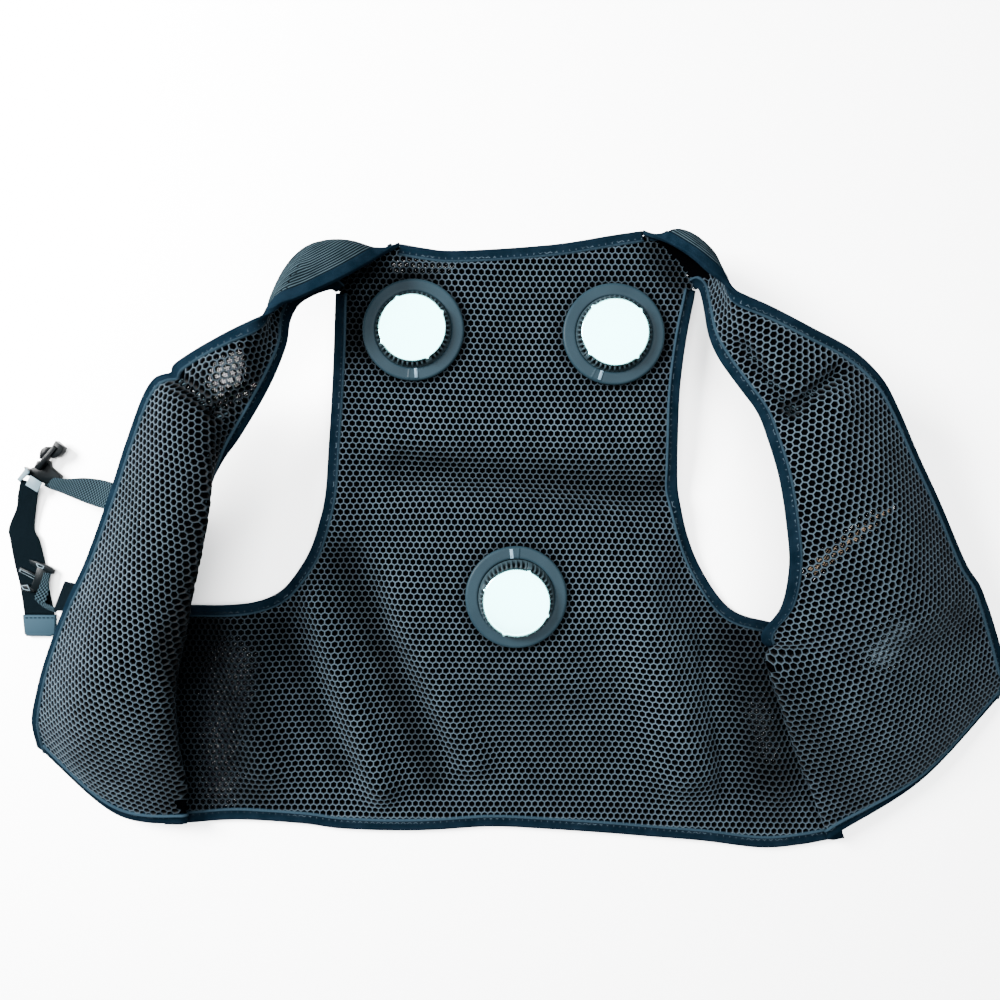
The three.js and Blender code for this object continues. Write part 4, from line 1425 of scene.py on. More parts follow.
@dataclass(frozen=True)
class WovenWebbing:
    """Woven webbing: crossing threads, with painted light where a thread comes to the top and painted shade
    in the hollows between.
    """

    name: str
    thread: Spot
    hollow: Spot
    weave: Weave

    def material(self) -> bpy.types.Material:
        """Returns the material."""
        graph = Graph(self.name)
        flat = graph.coordinates("UV")
        warp, weft = graph.waves(flat, *self.weave.value)
        crossing = graph.math("MULTIPLY", warp, weft)
        fuzz = graph.noise(flat, 40.0)
        height = graph.math("MULTIPLY_ADD", crossing, 0.5, 0.5)
        mixed = graph.math("MULTIPLY", height, graph.math("ADD", fuzz, 0.5))
        # Painted light and shade: the colour follows the weave's height, lighter on top, darker in the
        # hollows
        colour = graph.ramp(mixed, [(0.32, self.hollow), (0.75, self.thread)])
        graph.set(Base_Color=colour, Roughness=0.75, Specular_IOR_Level=0.0)
        graph.bump(height, 0.0006, 0.9)
        return graph.material


@dataclass(frozen=True)
class PaleFloor:
    """The pale floor, very faintly uneven."""

    colour: Spot = (0.95, 0.95, 0.95)
    shade: Spot = (0.93, 0.935, 0.935)

    def material(self) -> bpy.types.Material:
        """Returns the material."""
        graph = Graph("pale_floor")
        cloudy = graph.noise(graph.coordinates("Object"), 1.5)
        colour = graph.ramp(cloudy, [(0.3, self.shade), (0.7, self.colour)])
        graph.set(Base_Color=colour, Roughness=0.7)
        return graph.material


PLASTICS = (
    MouldedPlastic("flange_plastic", (0.0034, 0.0078, 0.0108), (0.0047, 0.0102, 0.0138)),
    MouldedPlastic("housing_plastic", (0.0006, 0.001, 0.0012), (0.0012, 0.0018, 0.0022)),
    # The teeth take the collar's painted shade in its slots
    MouldedPlastic("tooth_plastic", (0.0065, 0.0115, 0.014), (0.01, 0.016, 0.019), with_painted_shading=True),
    MouldedPlastic("buckle_plastic", (0.0004, 0.0007, 0.0009), (0.0009, 0.0016, 0.002), 0.3),
    MouldedPlastic("light_plastic", (0.04, 0.062, 0.074), (0.066, 0.092, 0.106), 0.3),
    # The key's bar: a lighter plastic that paints the highlight at the key tab's edge
    MouldedPlastic("key_plastic", (0.05, 0.085, 0.11), (0.07, 0.11, 0.14)),
)

WEBBINGS = (
    WovenWebbing("grey_webbing", (0.0105, 0.0175, 0.0215), (0.0001, 0.0004, 0.0007), Weave.COARSE),
    WovenWebbing("black_webbing", (0.002, 0.0036, 0.0048), (0.0004, 0.0009, 0.0013), Weave.FINE),
    WovenWebbing("end_clip_tape", (0.0115, 0.021, 0.028), (0.006, 0.0125, 0.0175), Weave.FINE),
    WovenWebbing("tan_strip", (0.34, 0.24, 0.16), (0.24, 0.17, 0.12), Weave.FINE),
    WovenWebbing("patch_fabric", (0.16, 0.22, 0.26), (0.1, 0.14, 0.17), Weave.FINE),
)


def placed(name: str, data: bpy.types.ID) -> bpy.types.Object:
    """Puts a new object in the scene.

    Args:
        name: its name.
        data: its mesh, light or camera.

    Returns:
        The object.
    """
    thing = bpy.data.objects.new(name, data)
    bpy.context.scene.collection.objects.link(thing)
    return thing


class Workshop:
    """Makes the pieces: puts a shape into a mesh and hides the CAD parts that it stands for."""

    def __init__(self) -> None:
        """Makes each material once, and finds the shift from the view's frame to the part's."""
        finishes = (
            NetYarn(), DarkKnit(), RibbedKnit(), TapeCloth(), PolishedMetal(), *PLASTICS, *WEBBINGS,
            PaleFloor(),
        )
        made = [finish.material() for finish in finishes]
        self.materials = {material.name.partition(".")[0]: material for material in made}
        low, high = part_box("left_back_housing")
        first = COOLERS[0]
        x, y = (low[0] + high[0]) / 2, (low[1] + high[1]) / 2
        self.shift = np.array([x - first.x / 1000, y - first.y / 1000, 0.0])

    def piece(
        self,
        name: str,
        shape: Shape,
        finishes: str,
        slot: str,
        *replaced: str,
    ) -> bpy.types.Object:
        """Makes an object from a shape, at the origin, riding on the one body.

        Args:
            name: the piece's name.
            shape: its shape in millimetres.
            finishes: the names of its materials, with spaces between them.
            slot: the record's material slot; not used.
            replaced: the CAD nodes that it stands for.

        Returns:
            The object.
        """
        mesh = bpy.data.meshes.new(name)
        faces = shape.quads.tolist() + [cap.tolist() for cap in shape.caps]
        mesh.from_pydata((shape.points / 1000 + self.shift).tolist(), [], faces)
        layer = mesh.uv_layers.new(name="UVMap")
        flat = np.zeros((len(mesh.loops), 2))
        flat[: shape.corner_uv.shape[0] * 4] = shape.corner_uv.reshape(-1, 2)
        layer.data.foreach_set("uv", flat.ravel())
        # The depth and the painted light and shade go to the mesh as values of its points
        for label, values in (("depth", shape.depth), ("tone", shape.tone)):
            if values is not None:
                attribute = mesh.attributes.new(label, "FLOAT", "POINT")
                attribute.data.foreach_set("value", values.astype(np.float32))
        for finish in finishes.split():
            mesh.materials.append(self.materials[finish])
        if shape.slots is not None:
            mesh.polygons.foreach_set("material_index", shape.slots.astype(np.int32))
        mesh.polygons.foreach_set("use_smooth", np.full(len(faces), True))
        mesh.update()
        thing = placed(name, mesh)
        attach(thing, "root")
        if replaced:
            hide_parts(*replaced)
        log.info("%s: %d faces", name, len(faces))
        return thing

    def panel(
        self,
        name: str,
        label: str,
        surface: Surface,
        knit: Shape,
        net: Shape,
        bands: dict[str, tuple[Array, Array]],
    ) -> tuple[bpy.types.Object, list[bpy.types.Object]]:
        """Makes a panel's knit, its net and its tapes.

        Args:
            name: the panel's name in the part.
            label: how its pieces' names start.
            surface: its middle surface.
            knit: the knit's shape.
            net: the net's shape.
            bands: the outer and inner line of each tape, by the tape's name in the part.

        Returns:
            The knit, and the other pieces, which move with it.
        """
        backing = self.piece(label + "_knit", knit, "dark_knit ribbed_knit", "spacer_mesh", name)
        pieces = [self.piece(label + "_net", net, "net_yarn", "spacer_mesh")]
        section = tape_section()
        for tape, (outer, inner) in bands.items():
            band = surface.band(outer, inner, section)
            pieces.append(self.piece(tape + "_tape", band, "tape_cloth", "binding_tape", tape))
        return backing, pieces


@dataclass
class BackPanel:
    """The back with both side parts: one sheet draped over the three coolers."""

    edge: float = 3.4
    seat: float = 22.0
    flat: float = 8.0
    reach: float = 62.0
    fold_clear: float = 45.0
    seat_level: float = 15.0
    flange_radius: float = 47.0
    low: tuple[float, float] = (-350.0, -350.0)
    high: tuple[float, float] = (350.0, 270.0)
    step: float = 5.0
    seam_reach: float = 11.0
    seam_inset: float = 8.0
    neck_share: float = 0.72
    edge_steps: int = 90
    trim: float = 4.0
    bore: float = 39.5
    aim_at: tuple[float, float] = (60.0, 62.0)

    def height(self, spots: Array) -> Array:
        """Gives the middle surface's height over spots in plan.

        It is level at the coolers and falls away as a bell curve of the distance, plus each
        fold's bell curve, and never closer to the floor than half the tape's wall.

        Args:
            spots: points whose first two coordinates are x and y.

        Returns:
            The heights.
        """
        fall, opened = 1.0, 1.0
        for cooler in COOLERS:
            away = np.maximum(0, cooler.away(spots) - self.flange_radius - self.flat)
            fall = fall * (1 - bell(away, self.reach))
            opened = opened * (1 - bell(away, self.fold_clear))
        height = self.edge + (self.seat - self.edge) * (1 - fall)
        for fold in BACK_FOLDS:
            ends = VIEW.level([fold.start, fold.end], self.seat_level)
            away = line_distance(spots[..., :2], *ends)
            height = height + opened * fold.rise * bell(away, fold.width)
        return np.maximum(height, TAPE_WALL / 2)

    def found(self, pixels: Array) -> Array:
        """Finds the places on the panel that pixels show, by repeating with the height found.

        Args:
            pixels: rows of across and down.

        Returns:
            The places.
        """
        level = self.seat_level
        for _ in range(7):
            places = VIEW.level(pixels, level)
            level = self.height(places)
        return places

    def lifted(self, places: Array) -> Array:
        """Returns the places with their height set to the panel's."""
        return np.concatenate([places[..., :2], self.height(places)[..., None]], axis=-1)

    def surface(self) -> Surface:
        """Returns the panel's surface over its whole box."""
        x = np.arange(self.low[0], self.high[0] + 1, self.step)
        y = np.arange(self.low[1], self.high[1] + 1, self.step)
        spots = np.stack(np.meshgrid(x, y), axis=-1)
        return Surface(self.lifted(spots))

    def table_spots(self, places: Array) -> Array:
        """Returns table rows and columns of places."""
        return (places[..., 1::-1] - self.low[::-1]) / self.step

    def outline(self, edges: dict[str, Array], inset: float) -> Array:
        """Joins the four edges, moved inwards, into one outline.

        Args:
            edges: the edges.
            inset: how far inwards.

        Returns:
            The outline's corners.
        """
        lines = {name: beside(edge, inset)[:, :2] for name, edge in edges.items()}
        corners = []
        for name, line in lines.items():
            corners.append(line)
            follower = {"collar": "left_armhole", "right_armhole": "collar"}.get(name)
            if follower:
                first, second = line[-1], lines[follower][0]
                way = (second - first) / np.linalg.norm(second - first)
                out = np.array([way[1], -way[0]]) * self.seam_reach
                step = self.seam_inset * way
                near, far, share = (step, 0.0, self.neck_share) if name == "collar" else (0.0, step, 1.0)
                corners.append(np.stack([first + share * out + near, second + out - far]))
        return np.concatenate(corners)

    def build(self, shop: Workshop) -> None:
        """Makes the net, the knit behind it and the four tapes.

        Args:
            shop: makes the pieces.
        """
        surface = self.surface()
        edges = {
            name: even_points(self.found(spots), self.edge_steps) for name, spots in BACK_EDGES.items()
        }
        trimmed = self.outline(edges, self.trim)

        def kept(rows: Array, columns: Array) -> Array:
            """Returns which table places lie in the panel, clear of the coolers' bores."""
            spots = np.stack([columns, rows], axis=-1) * self.step + self.low
            inside = inside_outline(spots.reshape(-1, 2), trimmed).reshape(spots.shape[:-1])
            for cooler in COOLERS:
                inside &= cooler.away(spots) > self.bore
            return inside

        rows, columns = pairs(np.arange(surface.rows - 1) + 0.5, np.arange(surface.columns - 1) + 0.5)
        knit = surface.layer(kept(rows, columns), (1, 1), KNIT_TOP, KNIT_FOOT)
        net = HexNet().build(surface, Plan(surface, 2, True), kept, self.aim_at, (1.0, 0.0))
        bands = {
            f"{label}_binding": tuple(
                self.table_spots(line) for line in (edge, beside(edge, TAPE_WIDTH))
            )
            for label, edge in zip(BACK_BINDINGS, edges.values())
        }
        backing, pieces = shop.panel("back_panel", "back_panel", surface, knit, net, bands)


@dataclass
class FrontPanel:
    """A front panel: a sheet lofted from the shoulder seam down to the hem, rolled over."""

    side: Side
    sections: tuple[Section, ...]
    seam_top: int
    creases: tuple[Fold, ...]
    facing: float
    flat: tuple[float, float]
    area: float
    aim_turn: float
    per_row: int = 12
    step: float = 5.0
    aim_row: int = 120
    aim_share: float = 0.4
    crease_end: float = 0.82
    crease_fade: float = 0.12
    loose_from: float = 1.02

    def __post_init__(self) -> None:
        """Works out the surface and the length of each of its sections.

        The table's columns are even steps from the taped edge, and run on straight past a section's
        end, so that a column stays the same thread of the cloth from shoulder to hem.
        """
        back = BackPanel()
        lines = []
        for column in ("edge", "crest", "lip", "root"):
            spots = [getattr(section, column) for section in self.sections]
            lines.append([VIEW.place(spot) if len(spot) == 3 else back.found([spot])[0] for spot in spots])
        down = (len(self.sections) - 1) * self.per_row
        guides = smooth_curve(np.transpose(np.array(lines), (1, 0, 2)), np.linspace(0, 1, down + 1))
        across = smooth_curve(np.transpose(guides, (1, 0, 2)), np.linspace(0, 1, 121))
        steps = length_of(np.diff(across, axis=0))[..., 0]
        run = np.concatenate([np.zeros((1, down + 1)), np.cumsum(steps, axis=0)])
        self.widths = run[-1]
        self.columns = int(self.widths.max() / self.step) + 2
        wanted = np.arange(self.columns + 1) * self.step
        table = np.empty((down + 1, self.columns + 1, 3))
        for row in range(down + 1):
            for axis in range(3):
                table[row, :, axis] = np.interp(wanted, run[:, row], across[:, row, axis])
            end = across[-1, row] - across[-3, row]
            past = np.maximum(0, wanted - run[-1, row])[:, None]
            table[row] += past * end / np.linalg.norm(end)
        smooth = Surface(table, self.facing)
        share = wanted[None, :] / self.widths[:, None]
        upper = np.clip((self.crease_end - share) / self.crease_fade, 0, 1)
        rise = summed(table, self.creases) * upper
        self.surface = Surface(table + smooth.normals * rise[..., None], self.facing)
        self.inner = share <= self.loose_from

    def rows_for(self, distance: float, column: Array) -> Array:
        """Gives how many table rows a distance up from the hem takes at columns.

        Args:
            distance: the distance.
            column: table columns.

        Returns:
            The count at each column.
        """
        last = self.surface.rows - 1
        low = self.surface.at(np.full(len(column), float(last)), column)
        above = self.surface.at(np.full(len(column), last - 1.0), column)
        return distance / length_of(low - above)[:, 0]

    def width_at(self, rows: Array) -> Array:
        """Returns the section's length at table rows."""
        return np.interp(rows, np.arange(len(self.widths)), self.widths)

    def bands(self) -> dict[str, tuple[Array, Array]]:
        """Gives the outer and inner lines of the three tapes, as table rows and columns.

        Returns:
            Two lines for each tape, by the tape's name in the part.
        """
        last = self.surface.rows - 1
        front = np.linspace(0.0, last, 230)
        root = np.linspace(0.0, (self.seam_top - TAPE_END) * self.per_row, 160)
        outer = self.width_at(root) / self.step
        first = (TAPE_WIDTH + TAPE_GAP) / self.step
        hem = np.linspace(first, self.widths[-1] / self.step, 110)
        up = last - self.rows_for(TAPE_WIDTH, hem)
        side = self.side.value
        width = TAPE_WIDTH / self.step
        lines = {
            "front_edge": ((front, 0 * front), (front, 0 * front + width)),
            "armhole_front": ((root, outer), (root, outer - width)),
            "hem": ((0 * hem + last, hem), (up, hem)),
        }
        return {
            f"{side}_{name}_binding": tuple(np.column_stack(line) for line in both)
            for name, both in lines.items()
        }

    def kept(self, rows: Array, columns: Array) -> Array:
        """Tells which table places are mesh rather than tape, with a margin under the tape.

        Args:
            rows: table rows.
            columns: table columns.

        Returns:
            True where the mesh is.
        """
        width = self.width_at(rows)
        distance = columns * self.step
        flat = np.clip(columns, 0, self.columns).ravel()
        up = self.rows_for(MESH_MARGIN, flat).reshape(columns.shape)
        open_side = rows < self.seam_top * self.per_row
        return (
            (distance > MESH_MARGIN)
            & ((width - distance > MESH_MARGIN) | ~open_side)
            & (distance <= width)
            & (rows > -0.3)
            & (rows < self.surface.rows - 1 - up)
        )

    def find(self, pixel: Spot, most: float = 0.75) -> tuple[float, float]:
        """Finds the table row and column of the place that a pixel shows on the upper half.

        The nearest table point comes first, then the nearest of ever finer steps around it.

        Args:
            pixel: across and down.
            most: the share of the width that is searched.

        Returns:
            The row and the column.
        """
        start = 2 * self.per_row
        away = np.linalg.norm(VIEW.seen(self.surface.points[start:]) - pixel, axis=-1)
        beyond = np.arange(self.columns + 1) * self.step > most * self.widths[start:, None]
        away = np.where(beyond, np.inf, away)
        first = np.unravel_index(int(away.argmin()), away.shape)
        row, column = float(first[0] + start), float(first[1])
        for reach in (1.0, 0.2, 0.04):
            steps = np.linspace(-reach, reach, 11)
            rows, columns = pairs(row + steps, column + steps)
            away = np.linalg.norm(VIEW.seen(self.surface.at(rows, columns)) - pixel, axis=-1)
            best = np.unravel_index(int(away.argmin()), away.shape)
            row, column = float(rows[best]), float(columns[best])
        return row, column

    def build(self, shop: Workshop) -> None:
        """Makes the net, the knit behind it and the three tapes.

        Args:
            shop: makes the pieces.
        """
        stride = (2, 1)
        rows, columns = pairs(
            (np.arange((self.surface.rows - 1) // stride[0]) + 0.5) * stride[0],
            (np.arange(self.columns // stride[1]) + 0.5) * stride[1],
        )
        knit = self.surface.layer(self.kept(rows, columns), stride, KNIT_TOP, KNIT_FOOT)
        plan = Plan(self.surface, 4, False, self.inner)
        aim_at = (self.aim_row, self.aim_share * self.widths[self.aim_row] / self.step)
        aim = direction(np.radians(self.aim_turn))[::-1]
        net = HexNet().build(self.surface, plan, self.kept, aim_at, aim)
        label = f"{self.side.value}_front"
        backing, pieces = shop.panel(label + "_panel", label, self.surface, knit, net, self.bands())


@dataclass
class Cooler:
    """A cooler: a puck under the mesh, a toothed collar through it, a flange and a plate."""

    spot: CoolerPlace
    seat: float = 22.0
    housing_radius: float = 43.0
    housing_foot: float = 36.0
    flange_radius: float = 47.0
    flange_bore: float = 35.2
    flange_height: float = 4.2
    collar_radius: float = 35.0
    collar_bore: float = 27.0
    collar_top: float = 33.4
    teeth: int = 46
    lugs: int = 4
    plate_radius: float = 30.9
    plate_corner: float = 32.8
    plate_height: float = 2.6
    key_width: float = 9.0
    key_rise: float = 0.8
    key_bar: float = 3.0
    lean_from: float = 26.5

    def turned(self, profile: Array, angles: Array, lift: Array | float = 0.0) -> Array:
        """Turns rows of radius and height about the axis: a grid of angles by rows."""
        return self.around(profile[None, :, 0], angles[:, None], profile[None, :, 1] + lift)

    def around(self, radius: Array, angles: Array, height: Array) -> Array:
        """Returns points about the cooler's axis, from arrays that are spread over one another."""
        x, y = self.spot.x + radius * np.cos(angles), self.spot.y + radius * np.sin(angles)
        return np.stack(np.broadcast_arrays(x, y, height), axis=-1)

    def spread(self, angles: Array) -> Array:
        """Gives how far angles are from the nearest plate corner, from 0 to 1."""
        return np.abs(np.sin(self.lugs / 2 * (angles - np.radians(self.spot.corner_angle))))

    def housing(self) -> Shape:
        """Returns the puck under the mesh: a rounded cup with a shallow ring groove below."""
        top = self.seat - MESH_WALL / 2 - GAP
        r, f = self.housing_radius, self.housing_foot
        profile = np.array(
            [
                (2, 1.2), (22, 1.2), (23, 0.2), (f - 1, 0.0), (f + 1.6, 0.5), (r - 1.2, 2.8),
                (r, 4.6), (r, top - 1.4), (r - 0.5, top - 0.4), (r - 1.6, top), (2, top),
            ]
        )
        angles = np.linspace(0, 2 * np.pi, 96, endpoint=False)
        return carried(self.turned(profile, angles).transpose(1, 0, 2))

    def flange_levels(self) -> tuple[float, float]:
        """Returns the heights of the flange's foot and top."""
        low = self.seat + MESH_WALL / 2 + GAP
        return low, low + self.flange_height

    def flange(self) -> Shape:
        """Returns the flange ring, with its key tab between two radial ribs."""
        low, top = self.flange_levels()
        r, b = self.flange_radius, self.flange_bore
        profile = np.array(
            [
                (b, low), (r - 0.6, low), (r, low + 0.5), (r, top - 1.9), (r - 0.35, top - 0.9),
                (r - 1.2, top - 0.25), (r - 2.4, top), (r - 3.2, top), (b + 4.4, top + 0.15),
                (b + 2.2, top + 0.3), (b + 0.9, top + 0.1), (b + 0.2, top - 0.5), (b, top - 1.2),
            ]
        )
        angles = np.linspace(0, 2 * np.pi, 360, endpoint=False)
        off = np.abs(np.angle(np.exp(1j * (angles - np.radians(self.spot.key_angle)))))
        across = off * (r + b) / 2
        tab = np.clip((self.key_width / 2 - across) / 0.6, 0, 1) * self.key_rise * 0.5
        rib = bell(across - self.key_width / 2 + 0.7, 0.6) * self.key_rise * 0.6
        upper = (profile[:, 1] > top - 1).astype(float) * (profile[:, 0] < r - 1.5)
        lift = (tab + rib)[:, None] * upper[None, :]
        return carried(self.turned(profile, angles, lift), closed_rows=True)

    def key(self) -> Shape:
        """Returns the key's bar: a rounded strip lying along a radius of the flange, whose lighter plastic
        paints a highlight.
        """
        turn = np.radians(self.spot.key_angle) + (self.key_width / 2 - 1.2) / self.flange_radius
        way = np.append(direction(turn), 0.0)
        aside = np.array([-way[1], way[0], 0.0])
        middle = np.array([self.spot.x, self.spot.y, self.flange_levels()[1] + 0.15])
        section = rounded_section(self.key_bar, 1.6, 12)
        reach = np.array([self.flange_bore + 0.8, self.flange_bore + 1.4, self.flange_radius - 2.4])
        grid = (
            middle
            + reach[:, None, None] * way
            + (section[:, 0] - self.key_bar / 2)[None, :, None] * aside
            + section[:, 1][None, :, None] * np.array([0.0, 0.0, 1.0])
        )
        return carried(grid)

    def leaned(self, grid: Array) -> Array:
        """Leans a grid of points: the part above the flange moves down the view.

        Args:
            grid: the points, which are changed.

        Returns:
            The grid.
        """
        share = np.clip((grid[..., 2] - self.lean_from) / (self.collar_top - self.lean_from), 0, 1.4)
        grid[..., 1] -= self.spot.lean * share
        return grid

    def collar(self) -> Shape:
        """Returns the toothed vent collar: slots between teeth, broken by four lugs, with painted shade in
        the slots.
        """
        low = self.seat - MESH_WALL / 2
        angles = np.linspace(0, 2 * np.pi, self.teeth * 8, endpoint=False)
        wave = np.cos(self.teeth * angles)
        slot = np.clip((wave + 0.25) / 0.3, 0, 1) * (self.spread(angles) > 0.12)
        heights = np.array([low, 27.6, 28.6, self.collar_top - 0.7, self.collar_top])
        outs = np.array([self.collar_radius, self.collar_radius, 34.7, 34.0, 33.6])
        deep = np.array([0.0, 0.0, 2.9, 2.6, 2.0])
        radius = outs[None, :] - deep[None, :] * slot[:, None]
        outer = self.around(radius, angles[:, None], heights)
        bore = np.array([(self.collar_bore, self.collar_top), (self.collar_bore, low)])
        inner = self.turned(bore, angles)
        shape = carried(self.leaned(np.concatenate([outer, inner], axis=1)), closed_rows=True)
        # Painted shade: the outer faces in the slots are painted darker than the teeth's tips
        slot_shading = np.ones((len(angles), outer.shape[1] + inner.shape[1]))
        slot_shading[:, : outer.shape[1]] -= 0.94 * slot[:, None] * (deep > 0)
        shape.tone = slot_shading.ravel()
        return shape

    def plate(self) -> Shape:
        """Returns the cold plate: a disc with four pointed corners and a rounded rim."""
        low = self.collar_top + GAP
        top = low + self.plate_height
        angles = np.linspace(0, 2 * np.pi, 240, endpoint=False)
        point = np.clip(1 - self.spread(angles) / 0.16, 0, 1)
        rim = self.plate_radius + (self.plate_corner - self.plate_radius) * point
        rings = np.array(
            [
                (0.3, low), (0.985, low), (1.0, low + 0.5), (1.0, top - 0.7), (0.988, top - 0.2),
                (0.965, top), (0.93, top), (0.91, top - 0.08), (0.89, top - 0.04), (0.6, top),
                (0.05, top),
            ]
        )
        grid = self.around(rings[:, :1] * rim, angles, rings[:, 1:])
        return carried(self.leaned(grid))

    def build(self, shop: Workshop) -> None:
        """Makes the cooler's five pieces.

        Args:
            shop: makes the pieces.
        """
        name = self.spot.name
        for part, piece, shape, finish, slot in (
            ("back_housing", "cup", self.housing(), "housing_plastic", "housing_plastic"),
            ("flange_ring", "moulding", self.flange(), "flange_plastic", "flange_plastic"),
            ("vent_collar", "teeth", self.collar(), "tooth_plastic", "housing_plastic"),
            ("cold_plate", "disc", self.plate(), "cold_plate_metal", "cold_plate_metal"),
        ):
            label = f"{name}_{part}"
            shop.piece(f"{label}_{piece}", shape, finish, slot, label)
        # The key's bar is a lighter plastic that paints the highlight at the key tab's edge
        shop.piece(f"{name}_flange_ring_key", self.key(), "key_plastic", "flange_plastic")


def rim(pixels: Array, level: float, radius: float = 0.45) -> Shape:
    """Makes a thin round rim along a closed outline of the view.

    Args:
        pixels: the outline's corners.
        level: the height of its middle.
        radius: its radius.

    Returns:
        The shape.
    """
    corners = VIEW.level(pixels, level)
    middle = corners.mean(axis=0)
    way = (middle - corners) / length_of(middle - corners)
    angles = np.arange(8) * np.pi / 4
    offsets = way[:, None] * np.cos(angles)[:, None] + np.array([0, 0, 1]) * np.sin(angles)[:, None]
    return carried(corners[:, None] + radius * offsets, closed_rows=True)


def outlined(pixels: Array, low: float, high: float, bevel: float = 0.7) -> Shape:
    """Makes a flat moulded piece over an outline of the view, with rounded upper and lower edges.

    The rings step inwards by the bevel times 1 minus the sine, and up by the bevel times 1 minus
    the cosine, at both faces.

    Args:
        pixels: the outline's corners.
        low: the lowest height.
        high: the highest height.
        bevel: the rounding's radius.

    Returns:
        The shape.
    """
    middle = (low + high) / 2
    corners = VIEW.level(pixels, middle)[:, :2]
    x, y = corners[:, 0], corners[:, 1]
    area = float(np.sum(x * np.roll(y, -1) - np.roll(x, -1) * y))
    ahead = np.roll(corners, -1, axis=0) - corners
    ahead /= length_of(ahead)
    behind = np.roll(ahead, 1, axis=0)
    inward = np.stack([-(ahead + behind)[:, 1], (ahead + behind)[:, 0]], axis=1) * np.sign(area)
    inward /= np.maximum(length_of(inward), 0.4)
    turns = np.array([0.0, 0.5, 1.0]) * np.pi / 2
    steps, rises = bevel * (1 - np.sin(turns)), bevel * (1 - np.cos(turns))
    grid = []
    for step, height in zip([*steps, *steps[::-1]], [*(low + rises), *(high - rises)[::-1]]):
        grid.append(np.column_stack([corners + inward * step, np.full(len(corners), height)]))
    return carried(np.stack(grid))


@dataclass
class StrapGroup:
    """The webbing, buckles and end clip on the left front edge."""

    carrier: FrontPanel
    per_span: int = 12

    def places(self, rows: Selvedges) -> Array:
        """Finds the selvedges' places: those without a height lie under the tape seen there.

        Args:
            rows: the selvedges.

        Returns:
            Rows by two by three.
        """
        off = (TAPE_WALL + WEBBING_WALL) / 2 + WEBBING_GAP
        found = np.empty((len(rows), 2, 3))
        for i, pair in enumerate(rows):
            for j, spot in enumerate(pair):
                if len(spot) == 3:
                    found[i, j] = VIEW.place(spot)
                else:
                    row, column = self.carrier.find(spot)
                    found[i, j] = self.carrier.surface.at(np.array(row), np.array(column), -off)
        return found

    def webbing(self, rows: Selvedges) -> Shape:
        """Carries a flat rounded section along two selvedges.

        Args:
            rows: the selvedges.

        Returns:
            The strap's shape.
        """
        shares = np.linspace(0, 1, self.per_span * (len(rows) - 1) + 1)
        line = smooth_curve(self.places(rows), shares)
        along = np.arange(len(line), dtype=float)
        outer, inner = (np.column_stack([along, 0 * along + edge]) for edge in (0.0, 1.0))
        width = float(length_of(line[:, 1] - line[:, 0]).mean())
        return Surface(line).band(outer, inner, rounded_section(width, WEBBING_WALL, 18, 0.4))

    def build(self, shop: Workshop) -> None:
        """Makes the straps, the buckles and the end clip.

        Args:
            shop: makes the pieces.
        """
        for label, rows, slot, flat in (
            ("upper_strap", UPPER_STRAP, "grey_webbing", (0.024, 0.078)),
            ("tail_strap", TAIL_STRAP, "black_webbing", (0.026, 0.135)),
            ("lower_strap", LOWER_STRAP, "grey_webbing", (0.0105, 0.045)),
            ("strap_anchor", STRAP_ANCHOR, "black_webbing", (0.03, 0.03)),
        ):
            piece = shop.piece(f"{label}_webbing", self.webbing(rows), slot, slot, label)
        for name, mouldings, finish, slot, *stands_for in (
            ("strap_buckle_moulding", UPPER_BUCKLE, "buckle_plastic", "buckle_plastic", "strap_buckle"),
            ("strap_buckle_strip", BUCKLE_STRIPS, "light_plastic", "buckle_plastic"),
            ("lower_buckle_prongs", LOWER_BUCKLE, "buckle_plastic", "buckle_plastic", "lower_buckle"),
            ("strap_end_clip_fold", (END_CLIP,), "end_clip_tape", "end_clip_tape", "strap_end_clip"),
        ):
            shape = joined([outlined(part.outline, part.low, part.high) for part in mouldings])
            shop.piece(name, shape, finish, slot, *stands_for)
        rims = joined([rim(hole.outline, hole.low) for hole in PRONG_HOLES])
        shop.piece("lower_buckle_rims", rims, "light_plastic", "buckle_plastic")
        row = CLIP_STITCHES
        dash = np.array([(0, 0), (1, 0), (1, 1), (0, 1)]) * (row["length"], row["width"])
        low = END_CLIP.high - row["sunk"]
        dashes = [
            outlined(dash + (x, row["down"]), low, row["high"], row["bevel"])
            for x in np.linspace(row["first"], row["last"], row["count"])
        ]
        shop.piece("strap_end_clip_stitches", joined(dashes), "black_webbing", "black_webbing")


@dataclass
class OuterPieces:
    """What is sewn to the outer face of the right front panel: a strip and a patch."""

    carrier: FrontPanel
    wall: float = 1.6
    under: float = 1.2

    def flat_piece(self, corners: tuple[Spot, ...]) -> Shape:
        """Lays a flat piece against the panel's outer face, between four corners of the view.

        The table rows and columns of the four corners are mixed bilinearly.

        Args:
            corners: the four corners.

        Returns:
            The shape.
        """
        spots = np.array([self.carrier.find(corner, 0.96) for corner in corners])
        u, v = pairs(np.linspace(0, 1, 21), np.linspace(0, 1, 13))
        u, v = u[..., None], v[..., None]
        top = spots[0] * (1 - u) + spots[1] * u
        low = spots[3] * (1 - u) + spots[2] * u
        grid = top * (1 - v) + low * v
        section = rounded_section(1.0, self.wall, 16, 0.4)
        share = section[:, 0][None, :, None] / section[:, 0].max()
        line = grid[:, :1] * (1 - share) + grid[:, -1:] * share
        off = -(MESH_WALL / 2 + self.under + self.wall / 2)
        lifts = np.broadcast_to(section[:, 1] + off, line.shape[:2])
        return carried(self.carrier.surface.at(line[..., 0], line[..., 1], lifts))

    def build(self, shop: Workshop) -> None:
        """Makes both pieces.

        Args:
            shop: makes the pieces.
        """
        for label, corners, slot, flat in (
            ("outer_strip", OUTER_STRIP, "tan_strip", (0.0165, 0.1)),
            ("outer_patch", OUTER_PATCH, "patch_fabric", (0.04, 0.062)),
        ):
            piece = shop.piece(f"{label}_cloth", self.flat_piece(corners), slot, slot, label)


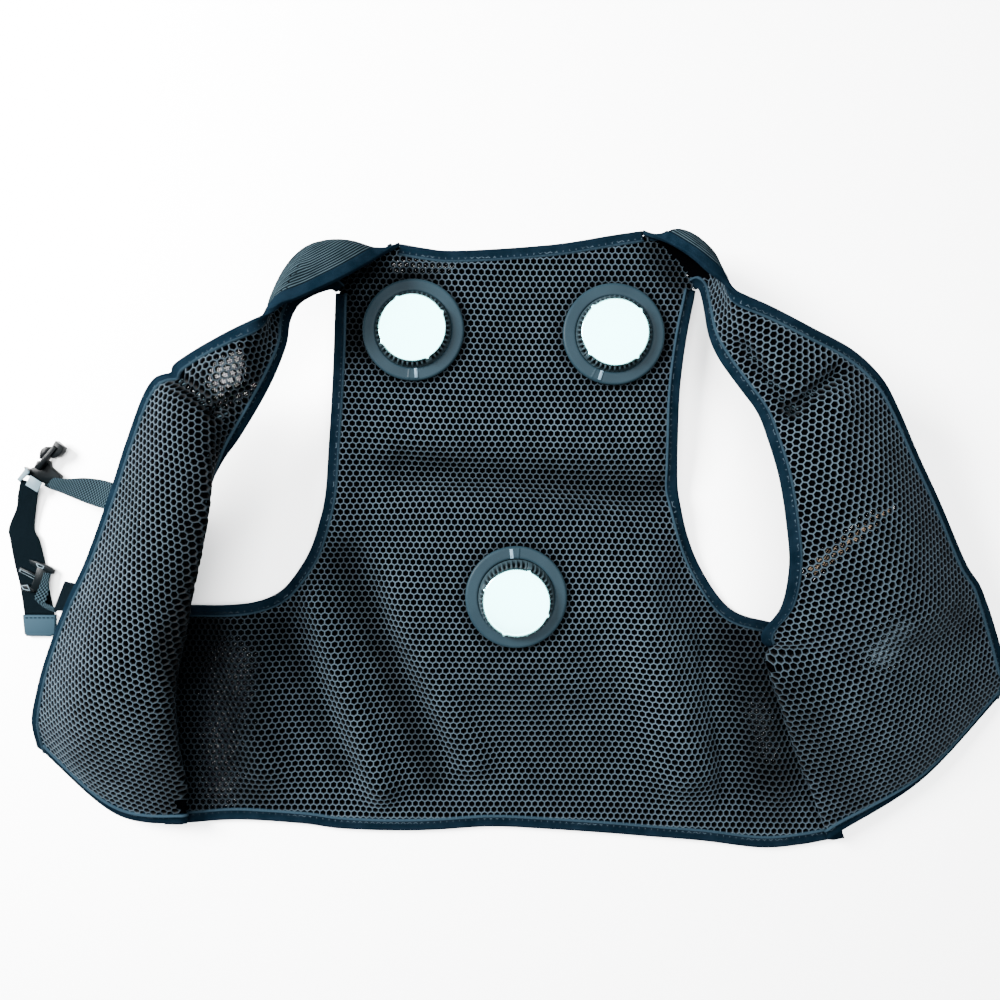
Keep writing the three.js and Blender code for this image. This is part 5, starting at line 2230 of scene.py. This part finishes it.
@dataclass
class Studio:
    """The pale floor, soft light from above and the camera of the photograph."""

    lens: float = 25.92
    sensor: float = 36.0
    floor_size: float = 6.0
    floor_level: float = -0.0006
    sky: tuple[float, ...] = (0.9, 0.95, 1.0, 1)
    sky_strength: float = 0.75

    def build(self, shop: Workshop) -> None:
        """Makes the floor, the lights and the camera.

        Args:
            shop: knows the shift to the view's axis.
        """
        half = self.floor_size / 2
        mesh = bpy.data.meshes.new("floor")
        corners = [(x * half, y * half, self.floor_level) for x, y in ((-1, -1), (1, -1), (1, 1), (-1, 1))]
        mesh.from_pydata(corners, [], [(0, 1, 2, 3)])
        mesh.materials.append(shop.materials["pale_floor"])
        placed("floor", mesh)
        for name, place, size, energy in (
            ("overhead", (0.1, 0.3, 1.9), 1.9, 215.0),
            ("upper_left", (-1.35, 0.65, 1.0), 0.7, 400.0),
        ):
            light = bpy.data.lights.new(name, "AREA")
            light.size = size
            light.energy = energy
            lamp = placed(name, light)
            lamp.location = place
            lamp.rotation_euler = (-Vector(place)).to_track_quat("-Z", "Y").to_euler()
        world = bpy.data.worlds.new("soft_world")
        world.use_nodes = True
        inputs = world.node_tree.nodes["Background"].inputs
        inputs["Color"].default_value = self.sky
        inputs["Strength"].default_value = self.sky_strength
        bpy.context.scene.world = world
        camera = bpy.data.cameras.new("camera")
        camera.lens = self.lens
        camera.sensor_width = self.sensor
        camera.clip_start = 0.01
        eye = placed("camera", camera)
        eye.location = (shop.shift[0], shop.shift[1], VIEW.height / 1000)
        bpy.context.scene.camera = eye


def main() -> None:
    """Builds the vest's parts in order."""
    logging.basicConfig(level=logging.INFO, format="%(name)s %(message)s")
    shop = Workshop()
    Studio().build(shop)
    for spot in COOLERS:
        Cooler(spot).build(shop)
    BackPanel().build(shop)
    left = FrontPanel(Side.LEFT, LEFT_SECTIONS, 12, LEFT_CREASES, -1.0, (0.2, 0.56), 0.085, -5.0)
    right = FrontPanel(Side.RIGHT, RIGHT_SECTIONS, 14, RIGHT_CREASES, 1.0, (0.27, 0.56), 0.105, 5.0)
    left.build(shop)
    right.build(shop)
    StrapGroup(left).build(shop)
    OuterPieces(right).build(shop)


if __name__ == "__main__":
    main()
